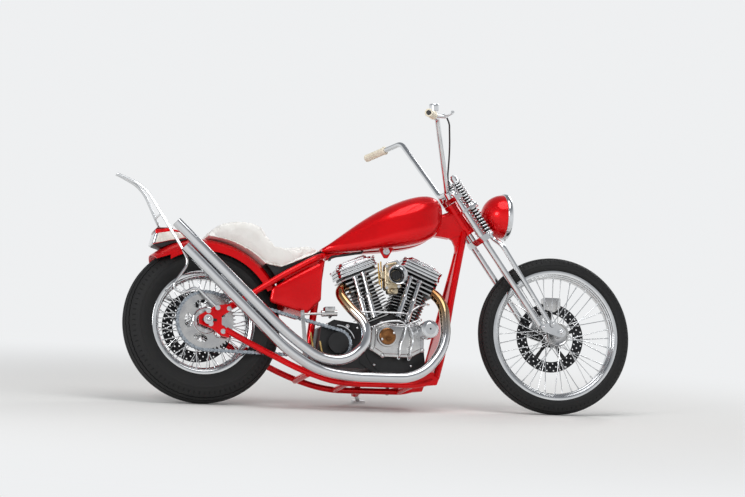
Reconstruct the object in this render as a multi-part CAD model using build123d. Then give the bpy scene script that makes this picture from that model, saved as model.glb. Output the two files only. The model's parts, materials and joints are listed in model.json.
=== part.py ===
from build123d import *
import os
from math import atan2, cos, hypot, pi, radians, sin, sqrt, tan

# A chopper motorcycle with a rigid frame, a springer fork and an open V-twin engine.
# Modelled upright in millimetres, +X forward, +Y to its left, +Z up, with x = 0 at the
# rear axle and z = 0 at the ground, then leaned on its side stand by leaned().

# Driving sizes
wheelbase = 1545
lean = 12
rake = 34.5

front_tyre_radius = 338.6
front_crown_radius = 42
front_bead_radius = 266.7
front_flange_radius = 281.5
front_rim_half_width = 30
front_spoke_count = 40

rear_tyre_radius = 332.6
rear_crown_radius = 65
rear_bead_radius = 203.2
rear_flange_radius = 217
rear_rim_half_width = 45
rear_spoke_count = 60

rim_wall = 4
rim_lip = 3.4
bead_height = 16.5
bead_gap = 0.5
rim_well_depth = 13
spoke_radius = 1.9
spoke_swing = 62
spoke_step = 2.2
front_hub_bore = 9
rear_hub_bore = 10
hub_boss_radius = 28
# A tyre is a ring of this many flats, with its crown's bands between these angles.
tyre_sides = 72
crown_angles = (-98, -66, -40, -14, 14, 40, 66, 98)

# Both tyre crowns touch the ground once the machine leans, so the axles stand this high.
front_axle_z = (front_tyre_radius - front_crown_radius) + front_crown_radius / cos(radians(lean))
rear_axle_z = (rear_tyre_radius - rear_crown_radius) + rear_crown_radius / cos(radians(lean))
front_axle = (wheelbase, front_axle_z)
rear_axle = (0, rear_axle_z)

# Steering head, set back from the front axle
neck_setback = 460
neck_top_x = wheelbase - neck_setback
neck_top_z = 890
neck_length = 150
neck_radius = 25
bearing_cup_radius = 29
stem_radius = 11

# Frame tubes
frame_tube_radius = 13
backbone_radius = 18
seat_post_radius = 15
axle_plate_y = 114
rear_axle_radius = 9.5
backbone_rear = (528, 0, 640)
backbone_along = 45

# Springer fork
fork_half_width = 80
rigid_leg_offset = 12
rigid_leg_radius = 13.5
spring_leg_radius = 10.5
spring_offset = 62
spring_half_width = 46
spring_radius = 22
spring_coils = 10
rocker_thickness = 10
rocker_y = 93.8
spring_wave = 4
spring_sides = 12
spring_rod_radius = 7
perch_along = 50.2
perch_thickness = 9.6
leg_top_along = -30
leg_taper_along = 180

# Brakes and drive
disc_radius = 150
disc_inner_radius = 104
disc_thickness = 5
disc_arm_radius = 3.5
carrier_radius = 42
front_disc_y = 50
rear_disc_y = 84
chain_pitch = 15.875
chain_plate_half = 7.3
chain_waist = 0.72
chain_groove_depth = 4.6
chain_groove_half = 4.8
chain_width = 17
chain_y = -90
rear_teeth = 48
front_teeth = 23
front_sprocket_x = 558
front_sprocket_z = 259

# Engine: two cylinders at 45 degrees on one crank
crank_x = 798
crank_z = 249
half_vee = 22.5
barrel_start = 138
barrel_end = 276
head_end = 352
cover_end = 414
barrel_fin_count = 10
head_fin_count = 4
fin_thickness = 3.6
barrel_fin_half = 72
head_fin_half = 86

# Exhaust pipes
pipe_radius = 21.5
pipe_wall = 1.6
pipe_bore_depth = 90
port_y = -30
port_height = 320
port_radius = 26
joint_gap = 0.4

# Bodywork
fender_gap = 23.4
fender_radius = rear_tyre_radius + fender_gap
fender_half_width = rear_crown_radius + 23
fender_wall = 3
fender_skirt = 62
fender_crown_drop = 34
fender_start = 27
fender_end = 131
seat_gap = 1
tank_rear_x = 512
tank_wall_gap = 6
tank_slot_rise = 25
bar_radius = 11
grip_radius = 16
grip_length = 125
grip_overhang = 6
lens_radius = 88
cable_radius = 3.5
hose_radius = 5


# Side stand: its hinge, where its foot rests, and where the foot lies when folded back
stand_pivot = (700, 146, 92)
stand_foot = (757, 300)
stand_folded_foot = (535, 172, 97)
stand_pin_radius = 6
stand_lug_inner = 13.5
stand_lug_outer = 20


def stand_axis():
    """The hinge line that carries the leg from down to folded, as a unit vector."""
    pivot = Vector(*stand_pivot)
    down = Vector(stand_foot[0], stand_foot[1], stand_foot[1] * tan(radians(lean))) - pivot
    folded = Vector(*stand_folded_foot) - pivot
    return down.cross(folded).normalized()


def stand_point(along):
    """A point on the side stand's hinge line."""
    return tuple(Vector(*stand_pivot) + stand_axis() * along)


def pitch_radius(teeth):
    """Radius of the circle on which the chain's pins lie."""
    return chain_pitch / (2 * sin(pi / teeth))


def steer_point(along, ahead, y=0.0):
    """A point given along the steering axis (down), ahead of it, and sideways."""
    s = sin(radians(rake))
    c = cos(radians(rake))
    return (neck_top_x + along * s + ahead * c, y, neck_top_z - along * c + ahead * s)


def neck_point(ahead, y, above):
    """A point given by its distances from the top of the steering head."""
    return (neck_top_x + ahead, y, neck_top_z + above)


def backbone_z(x):
    """Height of the backbone's line at x."""
    front = steer_point(backbone_along, -6)
    slope = (front[2] - backbone_rear[2]) / (front[0] - backbone_rear[0])
    return backbone_rear[2] + slope * (x - backbone_rear[0])


def over_fender(angle, rise):
    """A point (x, z) at an angle about the rear axle, that high over the fender's crown."""
    radius = fender_radius + rise
    return (radius * cos(radians(angle)), rear_axle_z + radius * sin(radians(angle)))


def near_axle(axle, ahead, above):
    """A point (x, z) given by its distances from an axle."""
    return (axle[0] + ahead, axle[1] + above)


def rod(start, end, radius, end_radius=None):
    """A round bar or a cone from one point to the other."""
    axis = Vector(*end) - Vector(*start)
    plane = Plane(origin=start, z_dir=axis)
    if end_radius is None:
        return plane * Cylinder(radius, axis.length, align=(Align.CENTER, Align.CENTER, Align.MIN))
    return plane * Cone(radius, end_radius, axis.length, align=(Align.CENTER, Align.CENTER, Align.MIN))


def bend_radii(points):
    """The largest bend at each corner that leaves a short straight between two bends."""
    radii = []
    for before, corner, after in zip(points, points[1:], points[2:]):
        first = Vector(*corner) - Vector(*before)
        second = Vector(*after) - Vector(*corner)
        half_turn = radians(first.get_angle(second)) / 2
        radii.append(0.47 * min(first.length, second.length) / tan(half_turn))
    return radii


def bent_tube(points, radius, bend_limit=None):
    """A round tube along straight runs joined by bends."""
    if len(points) == 2:
        return rod(points[0], points[1], radius)
    radii = bend_radii(points)
    if bend_limit is not None:
        radii = [min(r, bend_limit) for r in radii]
    path = FilletPolyline(*points, radius=radii)
    section = Plane(origin=path @ 0, z_dir=path % 0) * Circle(radius)
    return sweep(section, path=path)


def mirrored(points):
    """The same points on the other side of the machine."""
    return [(x, -y, z) for x, y, z in points]


def side_plate(points, y_from, y_to, corner=0.0):
    """A plate cut to an outline of (x, z) points, between two y values."""
    outline = make_face(Polyline(*[(x, z) for x, z in points], close=True))
    if corner > 0:
        outline = fillet(outline.vertices(), corner)
    low = min(y_from, y_to)
    # Plane.XZ looks along -Y, so its depth is measured backwards.
    return Pos(0, low, 0) * extrude(Plane.XZ * outline, amount=-abs(y_to - y_from))


def faceted_ring(profile, sides):
    """A ring of flat facets about Z, from a closed profile of (z, radius) points."""
    turns = [(cos(2 * pi * i / sides), sin(2 * pi * i / sides)) for i in range(sides)]
    faces = []
    for (z1, r1), (z2, r2) in zip(profile, profile[1:] + profile[:1]):
        for (c1, s1), (c2, s2) in zip(turns, turns[1:] + turns[:1]):
            corners = [(r1 * c1, r1 * s1, z1), (r1 * c2, r1 * s2, z1),
                       (r2 * c2, r2 * s2, z2), (r2 * c1, r2 * s1, z2)]
            faces.append(Face(Wire.make_polygon(corners, close=True)))
    return Solid(Shell(faces))


def steer_plane(along, ahead=0.0, y=0.0):
    """A plane square to the steering axis: its x points ahead, its z down the axis."""
    return Plane(origin=steer_point(along, ahead, y), x_dir=(cos(radians(rake)), 0, sin(radians(rake))),
                 z_dir=(sin(radians(rake)), 0, -cos(radians(rake))))


def disc_y(centre, radius, y_from, y_to):
    """A disc or drum on an axis along Y."""
    low = min(y_from, y_to)
    return rod((centre[0], low, centre[1]), (centre[0], max(y_from, y_to), centre[1]), radius)


def turned(centre, profile):
    """A ring turned about an axle: the profile has (y, radius) points."""
    outline = make_face(Polyline(*[(r, y) for y, r in profile], close=True))
    ring = revolve(outline, axis=Axis.Y, revolution_arc=360)
    return Pos(centre[0], 0, centre[1]) * ring


def joined(pieces):
    """One solid from pieces that meet."""
    result = pieces[0]
    for piece in pieces[1:]:
        result = result + piece
    return result


def tyre(centre, radius, crown, bead, rim_half):
    """A tyre whose crown is a ring of narrow bands on the crown circle."""
    middle = radius - crown
    wall = rim_half - rim_lip - bead_gap
    profile = [(-wall, bead + bead_gap), (-wall, bead + bead_height)]
    for angle in crown_angles:
        profile.append((crown * sin(radians(angle)), middle + crown * cos(radians(angle))))
    profile += [(wall, bead + bead_height), (wall, bead + bead_gap)]
    return Pos(centre[0], 0, centre[1]) * Rot(-90, 0, 0) * faceted_ring(profile, tyre_sides)


def rim(centre, flange, bead, half_width):
    """A channel rim with a dropped well and an outward lip on each side."""
    outer = [
        (-half_width, flange),
        (-half_width, bead - rim_wall),
        (-half_width * 0.45, bead - rim_well_depth - rim_wall),
        (half_width * 0.45, bead - rim_well_depth - rim_wall),
        (half_width, bead - rim_wall),
        (half_width, flange),
    ]
    inner = [
        (half_width - rim_lip, flange),
        (half_width - rim_lip, bead),
        (half_width * 0.4, bead - rim_well_depth),
        (-half_width * 0.4, bead - rim_well_depth),
        (-half_width + rim_lip, bead),
        (-half_width + rim_lip, flange),
    ]
    return turned(centre, outer + inner)


def spokes(centre, count, flange_radius, flange_y, rim_radius, rim_y):
    """Crossed spokes from both hub flanges to the rim, each a straight six-sided wire."""
    wires = []
    for side in (-1, 1):
        for i in range(count // 2):
            rim_angle = 360 / count * (2 * i + (0 if side < 0 else 1))
            # Neighbours lean opposite ways and leave opposite faces of the flange.
            way = 1 if i % 2 else -1
            hub_angle = rim_angle + way * spoke_swing
            start = Vector(centre[0] + flange_radius * cos(radians(hub_angle)),
                           side * (flange_y + way * spoke_step),
                           centre[1] + flange_radius * sin(radians(hub_angle)))
            end = Vector(centre[0] + rim_radius * cos(radians(rim_angle)), side * rim_y,
                         centre[1] + rim_radius * sin(radians(rim_angle)))
            section = Plane(origin=start, z_dir=end - start) * RegularPolygon(spoke_radius, 6)
            wires.append(extrude(section, amount=(end - start).length))
    return wires


def brake_disc(centre, y):
    """A disc on a five-armed carrier that sits round the hub."""
    plate = disc_y(centre, disc_radius, y - disc_thickness / 2, y + disc_thickness / 2)
    plate -= disc_y(centre, disc_inner_radius, y - disc_thickness, y + disc_thickness)
    for arm in range(5):
        angle = radians(72 * arm + 18)
        end = (centre[0] + (disc_inner_radius + 6) * cos(angle), y,
               centre[1] + (disc_inner_radius + 6) * sin(angle))
        start = (centre[0] + 34 * cos(angle), y, centre[1] + 34 * sin(angle))
        plate += rod(start, end, disc_arm_radius)
    plate += disc_y(centre, carrier_radius, y - 5, y + 5)
    plate -= disc_y(centre, hub_boss_radius + 1, y - 9, y + 9)
    return plate


def make_front_wheel():
    parts = {}
    parts["front_tyre"] = tyre(front_axle, front_tyre_radius, front_crown_radius,
                               front_bead_radius, front_rim_half_width)
    ring = rim(front_axle, front_flange_radius, front_bead_radius, front_rim_half_width)
    flange_y = 33
    flange_radius = 30
    wires = spokes(front_axle, front_spoke_count, flange_radius - 4, flange_y,
                   front_bead_radius - rim_well_depth - rim_wall / 2, 7)
    # (y, radius) from the open cup on the right to the disc's seat on the left
    hub = turned(front_axle, [(-58, front_hub_bore), (-58, 17), (-53, 19), (-53, 40), (-58, 47), (-57, 50),
                              (-50, 52), (-46, 46), (-43, 20), (-39, 20), (-36, flange_radius),
                              (-30, flange_radius), (-25, 20), (25, 20), (30, flange_radius),
                              (36, flange_radius), (40, 24), (44, hub_boss_radius), (56, hub_boss_radius),
                              (56, front_hub_bore)])
    parts["front_wire_wheel"] = hub + wires + ring
    parts["front_disc"] = brake_disc(front_axle, front_disc_y)
    return parts


def make_rear_wheel():
    parts = {}
    parts["rear_tyre"] = tyre(rear_axle, rear_tyre_radius, rear_crown_radius,
                              rear_bead_radius, rear_rim_half_width)
    ring = rim(rear_axle, rear_flange_radius, rear_bead_radius, rear_rim_half_width)
    flange_y = 46
    flange_radius = 44
    wires = spokes(rear_axle, rear_spoke_count, flange_radius - 4, flange_y,
                   rear_bead_radius - rim_well_depth - rim_wall / 2, 12)
    hub = turned(rear_axle, [(-98, rear_hub_bore), (-98, 30), (-78, 34), (-56, 34), (-49, flange_radius),
                             (-43, flange_radius), (-36, 30), (36, 30), (43, flange_radius),
                             (49, flange_radius), (56, hub_boss_radius), (96, hub_boss_radius),
                             (96, rear_hub_bore)])
    parts["rear_wire_wheel"] = hub + wires + ring
    parts["rear_disc"] = brake_disc(rear_axle, rear_disc_y)

    root = pitch_radius(rear_teeth) - 6
    sprocket = disc_y(rear_axle, root, chain_y - 3, chain_y + 3)
    tooth = side_plate([(root - 2, -5.5), (root + 9.5, -1.6), (root + 9.5, 1.6), (root - 2, 5.5)],
                       chain_y - 2.8, chain_y + 2.8)
    for i in range(rear_teeth):
        sprocket += Pos(0, 0, rear_axle_z) * (Rot(0, 360 / rear_teeth * (i + 0.5), 0) * tooth)
    for i in range(5):
        angle = radians(72 * i + 36)
        hole_x = 74 * cos(angle)
        hole_z = rear_axle_z + 74 * sin(angle)
        hole = extrude(Plane.XZ * (Pos(hole_x, hole_z) * Rot(0, 0, 72 * i + 36 + 90)
                                   * Ellipse(30, 17)), amount=20, both=True)
        sprocket -= Pos(0, chain_y, 0) * hole
    sprocket -= disc_y(rear_axle, 34.3, chain_y - 9, chain_y + 9)
    parts["rear_sprocket"] = sprocket
    return parts


def chain_loop():
    """A closed chain round both sprockets, its link plates waisted between the pins."""
    big = pitch_radius(rear_teeth)
    small = pitch_radius(front_teeth)
    dx = front_sprocket_x
    dz = front_sprocket_z - rear_axle_z
    span = hypot(dx, dz)
    heading = atan2(dz, dx)
    spread = atan2(big - small, sqrt(span ** 2 - (big - small) ** 2))
    run = sqrt(span ** 2 - (big - small) ** 2)
    # Angles of the tangent points, the same on both sprockets.
    upper = heading + pi / 2 - spread
    lower = heading - pi / 2 + spread
    length_big = (2 * pi - (upper - lower)) * big
    length_small = (upper - lower) * small
    total = 2 * run + length_big + length_small
    links = 2 * round(total / chain_pitch / 2)
    step = total / links

    def on_loop(s, offset):
        s = s % total
        if s < length_big:
            angle = upper + s / big
            return ((big + offset) * cos(angle), rear_axle_z + (big + offset) * sin(angle))
        s -= length_big
        if s < run:
            start = (big * cos(lower), rear_axle_z + big * sin(lower))
            end = (dx + small * cos(lower), front_sprocket_z + small * sin(lower))
            share = s / run
            return (start[0] + (end[0] - start[0]) * share + offset * cos(lower),
                    start[1] + (end[1] - start[1]) * share + offset * sin(lower))
        s -= run
        if s < length_small:
            angle = lower + s / small
            return (dx + (small + offset) * cos(angle), front_sprocket_z + (small + offset) * sin(angle))
        s -= length_small
        start = (dx + small * cos(upper), front_sprocket_z + small * sin(upper))
        end = (big * cos(upper), rear_axle_z + big * sin(upper))
        share = s / run
        return (start[0] + (end[0] - start[0]) * share + offset * cos(upper),
                start[1] + (end[1] - start[1]) * share + offset * sin(upper))

    outer = []
    inner = []
    groove_outer = []
    for i in range(links):
        outer.append(on_loop(i * step, chain_plate_half))
        outer.append(on_loop((i + 0.5) * step, chain_plate_half * chain_waist))
        inner.append(on_loop(i * step, -chain_plate_half))
        groove_outer.append(on_loop(i * step, chain_groove_depth))
    band = side_plate(outer, chain_y - chain_width / 2, chain_y + chain_width / 2)
    band -= side_plate(inner, chain_y - chain_width, chain_y + chain_width)
    # The sprocket teeth stand in the slot between the link plates.
    groove = side_plate(groove_outer, chain_y - chain_groove_half, chain_y + chain_groove_half)
    return band - groove


def make_frame():
    parts = {}
    top = steer_point(0, 0)
    bottom = steer_point(neck_length, 0)
    head = rod(top, bottom, neck_radius)
    head += rod(top, steer_point(16, 0), bearing_cup_radius)
    head += rod(steer_point(neck_length - 16, 0), bottom, bearing_cup_radius)
    backbone_front = steer_point(backbone_along, -6)
    head += rod(backbone_front, backbone_rear, backbone_radius)
    # The moulded web behind the neck, under the tank's nose
    web = [(backbone_front[0] - 6, backbone_front[2] + 8)]
    for ahead, above in ((76, -121), (-10, -148), (-55, -142), (-100, -138), (-155, -125), (-155, -108)):
        web.append((neck_top_x + ahead, neck_top_z + above))
    head += side_plate(web, -17, 17)
    head -= rod(steer_point(-5, 0), steer_point(neck_length + 5, 0), stem_radius + 2)
    parts["frame_head"] = head
    parts.update(make_cradle(head))
    return parts


def stay_route(side):
    """The line of one upper rail, from the backbone's end to its axle plate."""
    return [(522, side * 20, 640), (482, side * 62, 626), (322, side * 94, 538),
            (205, side * 109, 462), (96, side * (axle_plate_y + 1), 392)]


def make_cradle(head):
    """The tubes below and behind the head, each cut where it meets the one before."""
    parts = {}
    down_points = [neck_point(57, 16, -120), neck_point(27, 26, -250), (1062, 58, 440), (1016, 96, 230),
                   (984, 108, 128)]
    down = bent_tube(down_points, frame_tube_radius + 2)
    down += bent_tube(mirrored(down_points), frame_tube_radius + 2)
    web = loft([
        Plane(origin=neck_point(53, 0, -130), z_dir=(0.25, 0, 1)) * Rectangle(16, 40),
        Plane(origin=(1062, 0, 440), z_dir=(0.25, 0, 1)) * Rectangle(12, 116),
        Plane(origin=(986, 0, 136), z_dir=(0.25, 0, 1)) * Rectangle(12, 212),
    ], ruled=True)
    down = down + web - head

    rails = [(968, 108, 112), (900, 108, 92), (560, 110, 90), (400, 112, 138), (180, 115, 243),
             (78, axle_plate_y + 2, 296)]
    cradle = bent_tube(rails, frame_tube_radius) + bent_tube(mirrored(rails), frame_tube_radius)
    for x, z, radius in ((880, 92, 12), (600, 92, 12), (430, 126, 14)):
        cradle += rod((x, -110, z), (x, 110, z), radius)
    for side in (-1, 1):
        gusset = side_plate([(1002, 138), (985, 96), (830, 80), (800, 92), (880, 112), (965, 150)],
                            side * 102, side * 114)
        cradle += gusset
        plate = side_plate([(-36, 352), (-36, 318), (20, 298), (58, 270), (92, 262), (96, 290),
                            (60, 316), (60, 352), (92, 372), (128, 402), (78, 402), (34, 394)],
                           side * (axle_plate_y - 4), side * (axle_plate_y + 4), corner=5)
        cradle += plate
    cradle += stand_bracket()
    cradle += disc_y(rear_axle, rear_axle_radius, -134, 134)
    for side in (-1, 1):
        cradle += disc_y(rear_axle, 15, side * 100, side * 134)
    parts["frame_cradle"] = cradle
    parts["frame_down_tubes"] = down - cradle

    stay_tubes = bent_tube(stay_route(1), frame_tube_radius) + bent_tube(stay_route(-1), frame_tube_radius)
    stay_tubes += rod((505, -48, 634), (505, 48, 634), frame_tube_radius)
    stay_tubes += rod((516, 0, 624), (442, 0, 140), seat_post_radius)
    stay_tubes -= head
    stay_tubes -= cradle
    parts["frame_stays"] = stay_tubes

    return parts


def stand_bracket():
    """A forked lug on the left rail, with the pin the side stand swings on."""
    # x is measured inboard from the pin, z along the hinge line
    bracket_plane = Plane(origin=stand_pivot, x_dir=(0, -1, 0), z_dir=tuple(stand_axis()))
    web = Pos(30, 0, 0) * Box(24, 26, 2 * stand_lug_outer)
    bracket = bracket_plane * web
    for side in (-1, 1):
        middle = side * (stand_lug_inner + stand_lug_outer) / 2
        lug = Pos(14, 0, middle) * Box(42, 26, stand_lug_outer - stand_lug_inner)
        bracket += bracket_plane * lug
    bracket += rod(stand_point(-stand_lug_outer - 2), stand_point(stand_lug_outer + 2), stand_pin_radius)
    return bracket


def tank_section(x, low, high, half, top_round, low_round):
    """One cross-section of the fuel tank, standing across the machine."""
    outline = Polyline((-half, low), (-half * 0.82, high), (half * 0.82, high), (half, low), close=True)
    face = make_face(outline)
    points = face.vertices()
    tops = [v for v in points if v.Y > (low + high) / 2]
    lows = [v for v in points if v.Y <= (low + high) / 2]
    face = fillet(tops, top_round)
    lows = [v for v in face.vertices() if abs(v.Y - low) < 0.01]
    face = fillet(lows, low_round)
    return Plane(origin=(x, 0, 0), x_dir=(0, 1, 0), z_dir=(1, 0, 0)) * face


def make_tank():
    """The fuel tank, lofted along the backbone and slotted to sit astride it."""
    length = neck_top_x - tank_rear_x
    # share of the length, lowest and highest above the backbone, half width, top and bottom rounding
    stations = [
        (0.0, 20.8, 37.8, 30, 7, 6),
        (0.223, -19.6, 83.4, 82, 46, 30),
        (0.485, -56.0, 124.0, 124, 80, 50),
        (0.695, -78.6, 128.4, 136, 92, 60),
        (0.825, -73.8, 110.2, 112, 80, 50),
        (0.908, -32.8, 61.2, 62, 40, 36),
    ]
    sections = []
    for share, low, high, half, top_round, low_round in stations:
        x = tank_rear_x + share * length
        base = backbone_z(x)
        sections.append(tank_section(x, base + low, base + high, half, top_round, low_round))
    tank = loft(sections)
    slot_half = backbone_radius + tank_wall_gap
    front_x = neck_top_x + 35
    rear_x = tank_rear_x - 12
    tank -= side_plate([(front_x, backbone_z(front_x) + tank_slot_rise),
                        (rear_x, backbone_z(rear_x) + tank_slot_rise),
                        (rear_x, backbone_z(rear_x) - 90), (front_x, backbone_z(rear_x) - 90)],
                       -slot_half, slot_half)
    return tank


def make_bodywork():
    parts = {}
    tank = make_tank()
    parts["fuel_tank"] = tank
    cap_x = tank_rear_x + 0.686 * (neck_top_x - tank_rear_x)
    cap_z = backbone_z(cap_x)
    parts["fuel_cap"] = rod((cap_x, 62, cap_z + 107), (cap_x + 6, 68, cap_z + 128), 26) - tank
    hose = bent_tube([(684, -36, backbone_z(684) - 20), (684, -37, 659), (600, -40, 643), (545, -40, 634),
                      (538, -40, 612)], hose_radius)

    # Oil tank: a moulded horseshoe round the front of the tyre
    oil = side_plate([(282, 478), (500, 604), (556, 622), (524, 592), (492, 545), (490, 440),
                      (429, 380), (268, 424)], -102, 102)
    oil -= disc_y(rear_axle, fender_radius + 1, -fender_half_width - 1, fender_half_width + 1)
    for side in (-1, 1):
        oil -= bent_tube(stay_route(side), frame_tube_radius + 0.5)
    oil -= rod((516, 0, 624), (442, 0, 140), seat_post_radius + 0.5)
    parts["oil_tank"] = oil
    parts["fuel_hose"] = hose - tank - oil
    parts["rear_fender"] = make_fender()
    parts["seat"] = make_seat()
    return parts


def fender_section():
    """The rolled channel of the rear fender: a crown arc between two straight skirts."""
    inner_radius = fender_radius - fender_wall
    inner_half = fender_half_width - fender_wall
    outline = Curve()
    for radius, half, way in ((fender_radius, fender_half_width, 1), (inner_radius, inner_half, -1)):
        skirt = (fender_radius - fender_skirt, half)
        bend = (radius - fender_crown_drop, half - 2)
        ends = [(x, -way * y) for x, y in (skirt, bend)]
        far = [(x, way * y) for x, y in (bend, skirt)]
        outline += Line(ends[0], ends[1])
        outline += ThreePointArc(ends[1], (radius, 0), far[0])
        outline += Line(far[0], far[1])
    outline += Line((fender_radius - fender_skirt, fender_half_width), (fender_radius - fender_skirt, inner_half))
    outline += Line((fender_radius - fender_skirt, -fender_half_width), (fender_radius - fender_skirt, -inner_half))
    return make_face(outline.edges())


def make_fender():
    """The rear fender, turned about the axle, its tail cut to a slant that leaves a pointed lip."""
    fender = revolve(Rot(0, -fender_start, 0) * fender_section(), axis=Axis.Y,
                     revolution_arc=-(fender_end - fender_start))
    fender = Pos(0, 0, rear_axle_z) * fender
    cut = [over_fender(*point) for point in ((128.1, 32.8), (128.9, -29.6), (118.9, -45.4))]
    cut += [(-150, rear_axle_z + 186), (-420, rear_axle_z + 186), (-420, rear_axle_z + 306)]
    return fender - side_plate(cut, -200, 200)


def make_seat():
    """A tall rear hump, a dip and a thin nose that runs up to the tank."""
    hump = [(89.1, 10), (82.1, 52.8), (73.2, 85.9), (66.4, 103.4), (60.7, 108.2), (54, 82.8), (47.9, 76.6)]
    nose = [(330, 648), (400, 662), (470, 676), (512, 666), (470, 640), (400, 608), (321, 575)]
    under = [(47.9, -11.2), (65.1, -18.7), (83.4, -9.7)]
    outline = [over_fender(*point) for point in hump] + nose + [over_fender(*point) for point in under]
    seat = side_plate(outline, -125, 125)
    # Half widths of the plan, from the back to the nose
    plan = [(0, 70), (60, 108), (200, 122), (330, 118), (430, 66), (515, 30)]
    mirror = [(x, -y) for x, y in reversed(plan)]
    seat = seat & extrude(make_face(Polyline(*(plan + mirror), close=True)), amount=900)
    seat -= disc_y(rear_axle, fender_radius + seat_gap, -140, 140)
    for side in (-1, 1):
        seat -= bent_tube(stay_route(side), frame_tube_radius + 4)
    return seat


def make_rear_fittings():
    parts = {}
    foot = (40, 384)
    rail = [(-358, 3, 948), (-251, 30, 901), (-187, 62, 781)]
    # angle and rise over the fender, and y, where the bar runs down beside it
    for angle, rise, y in ((109.5, -45.1, 106), (108.3, -107.5, 108), (139, -155, 108), (132.8, -211.7, 112),
                           (109.7, -207.4, 116)):
        x, z = over_fender(angle, rise)
        rail.append((x, y, z))
    rail.append((foot[0], axle_plate_y + 11, foot[1]))
    bar = bent_tube(rail, 6) + bent_tube(mirrored(rail), 6)
    bar += rod((-187, -62, 781), (-187, 62, 781), 5)
    bar += rod((-366, 0, 951), (-346, 0, 943), 8)
    strut_x, strut_z = over_fender(109.7, -37.5)
    for side in (-1, 1):
        bar += rod((strut_x, side * 105, strut_z), (strut_x, side * (fender_half_width + 0.4), strut_z), 5)
        bar += disc_y(foot, 9, side * (axle_plate_y + 4.2), side * (axle_plate_y + 18))
    parts["sissy_bar"] = bar

    housing = [(124.9, 31.8), (118.1, 77), (111.1, 59.9), (100.1, 19.8), (99.6, 3), (114.2, 10.1)]
    lamp = side_plate([over_fender(*point) for point in housing], -42, 42, corner=4)
    lamp -= disc_y(rear_axle, fender_radius + 0.5, -80, 80)
    glass = [(118.1, 77), (116.5, 84), (108.7, 62), (108.2, 48.1), (111.1, 59.9)]
    lens = side_plate([over_fender(*point) for point in glass], -34, 34)
    parts["tail_lamp_body"] = lamp - lens
    parts["tail_lamp_lens"] = lens
    return parts


def cylinder_frame(side):
    """The frame of one cylinder: origin at the crank, z along the bore, x ahead."""
    tilt = radians(half_vee) * side
    return Plane(origin=(crank_x, 0, crank_z), x_dir=(cos(tilt), 0, -sin(tilt)),
                 z_dir=(sin(tilt), 0, cos(tilt)))


def fin_box(half_x, half_y, z_from, z_to, corner):
    """A flat fin with cut corners."""
    outline = make_face(Polyline(
        (-half_x + corner, -half_y), (half_x - corner, -half_y), (half_x, -half_y + corner),
        (half_x, half_y - corner), (half_x - corner, half_y), (-half_x + corner, half_y),
        (-half_x, half_y - corner), (-half_x, -half_y + corner), close=True))
    return Pos(0, 0, z_from) * extrude(outline, amount=z_to - z_from)


def head_block(side, gap=0.0):
    """The plain outline of one head, with a gap all round."""
    return cylinder_frame(side) * fin_box(head_fin_half + gap, head_fin_half - 14 + gap, barrel_end, head_end, 16)


def make_cylinders():
    """Two finned barrels and two finned heads, each trimmed where the two banks meet over the crank."""
    pieces = []
    for side in (-1, 1):
        barrel = fin_box(46, 46, barrel_start - 12, barrel_end - joint_gap, 14)
        pitch = (barrel_end - barrel_start) / barrel_fin_count
        for i in range(barrel_fin_count):
            z = barrel_start + pitch * i
            barrel += fin_box(barrel_fin_half, barrel_fin_half - 4, z, z + fin_thickness, 26)
        head = fin_box(46, 46, barrel_end, head_end, 14)
        pitch = (head_end - barrel_end) / head_fin_count
        for i in range(head_fin_count):
            z = barrel_end + pitch * i + 3
            head += fin_box(head_fin_half, head_fin_half - 14, z, z + fin_thickness + 2, 16)
        head += fin_box(head_fin_half - 10, head_fin_half - 22, head_end - 10, head_end, 12)
        # The exhaust port stands out as far as the fins, away from the other cylinder.
        head += rod((side * 40, port_y, port_height), (side * head_fin_half, port_y, port_height), port_radius)
        beyond = Pos(crank_x - side * (200 - 1.5), 0, crank_z + 250) * Box(400, 400, 600)
        for piece in (barrel, head):
            pieces.append((cylinder_frame(side) * piece - beyond).solid())
    return Compound(children=pieces)


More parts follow.
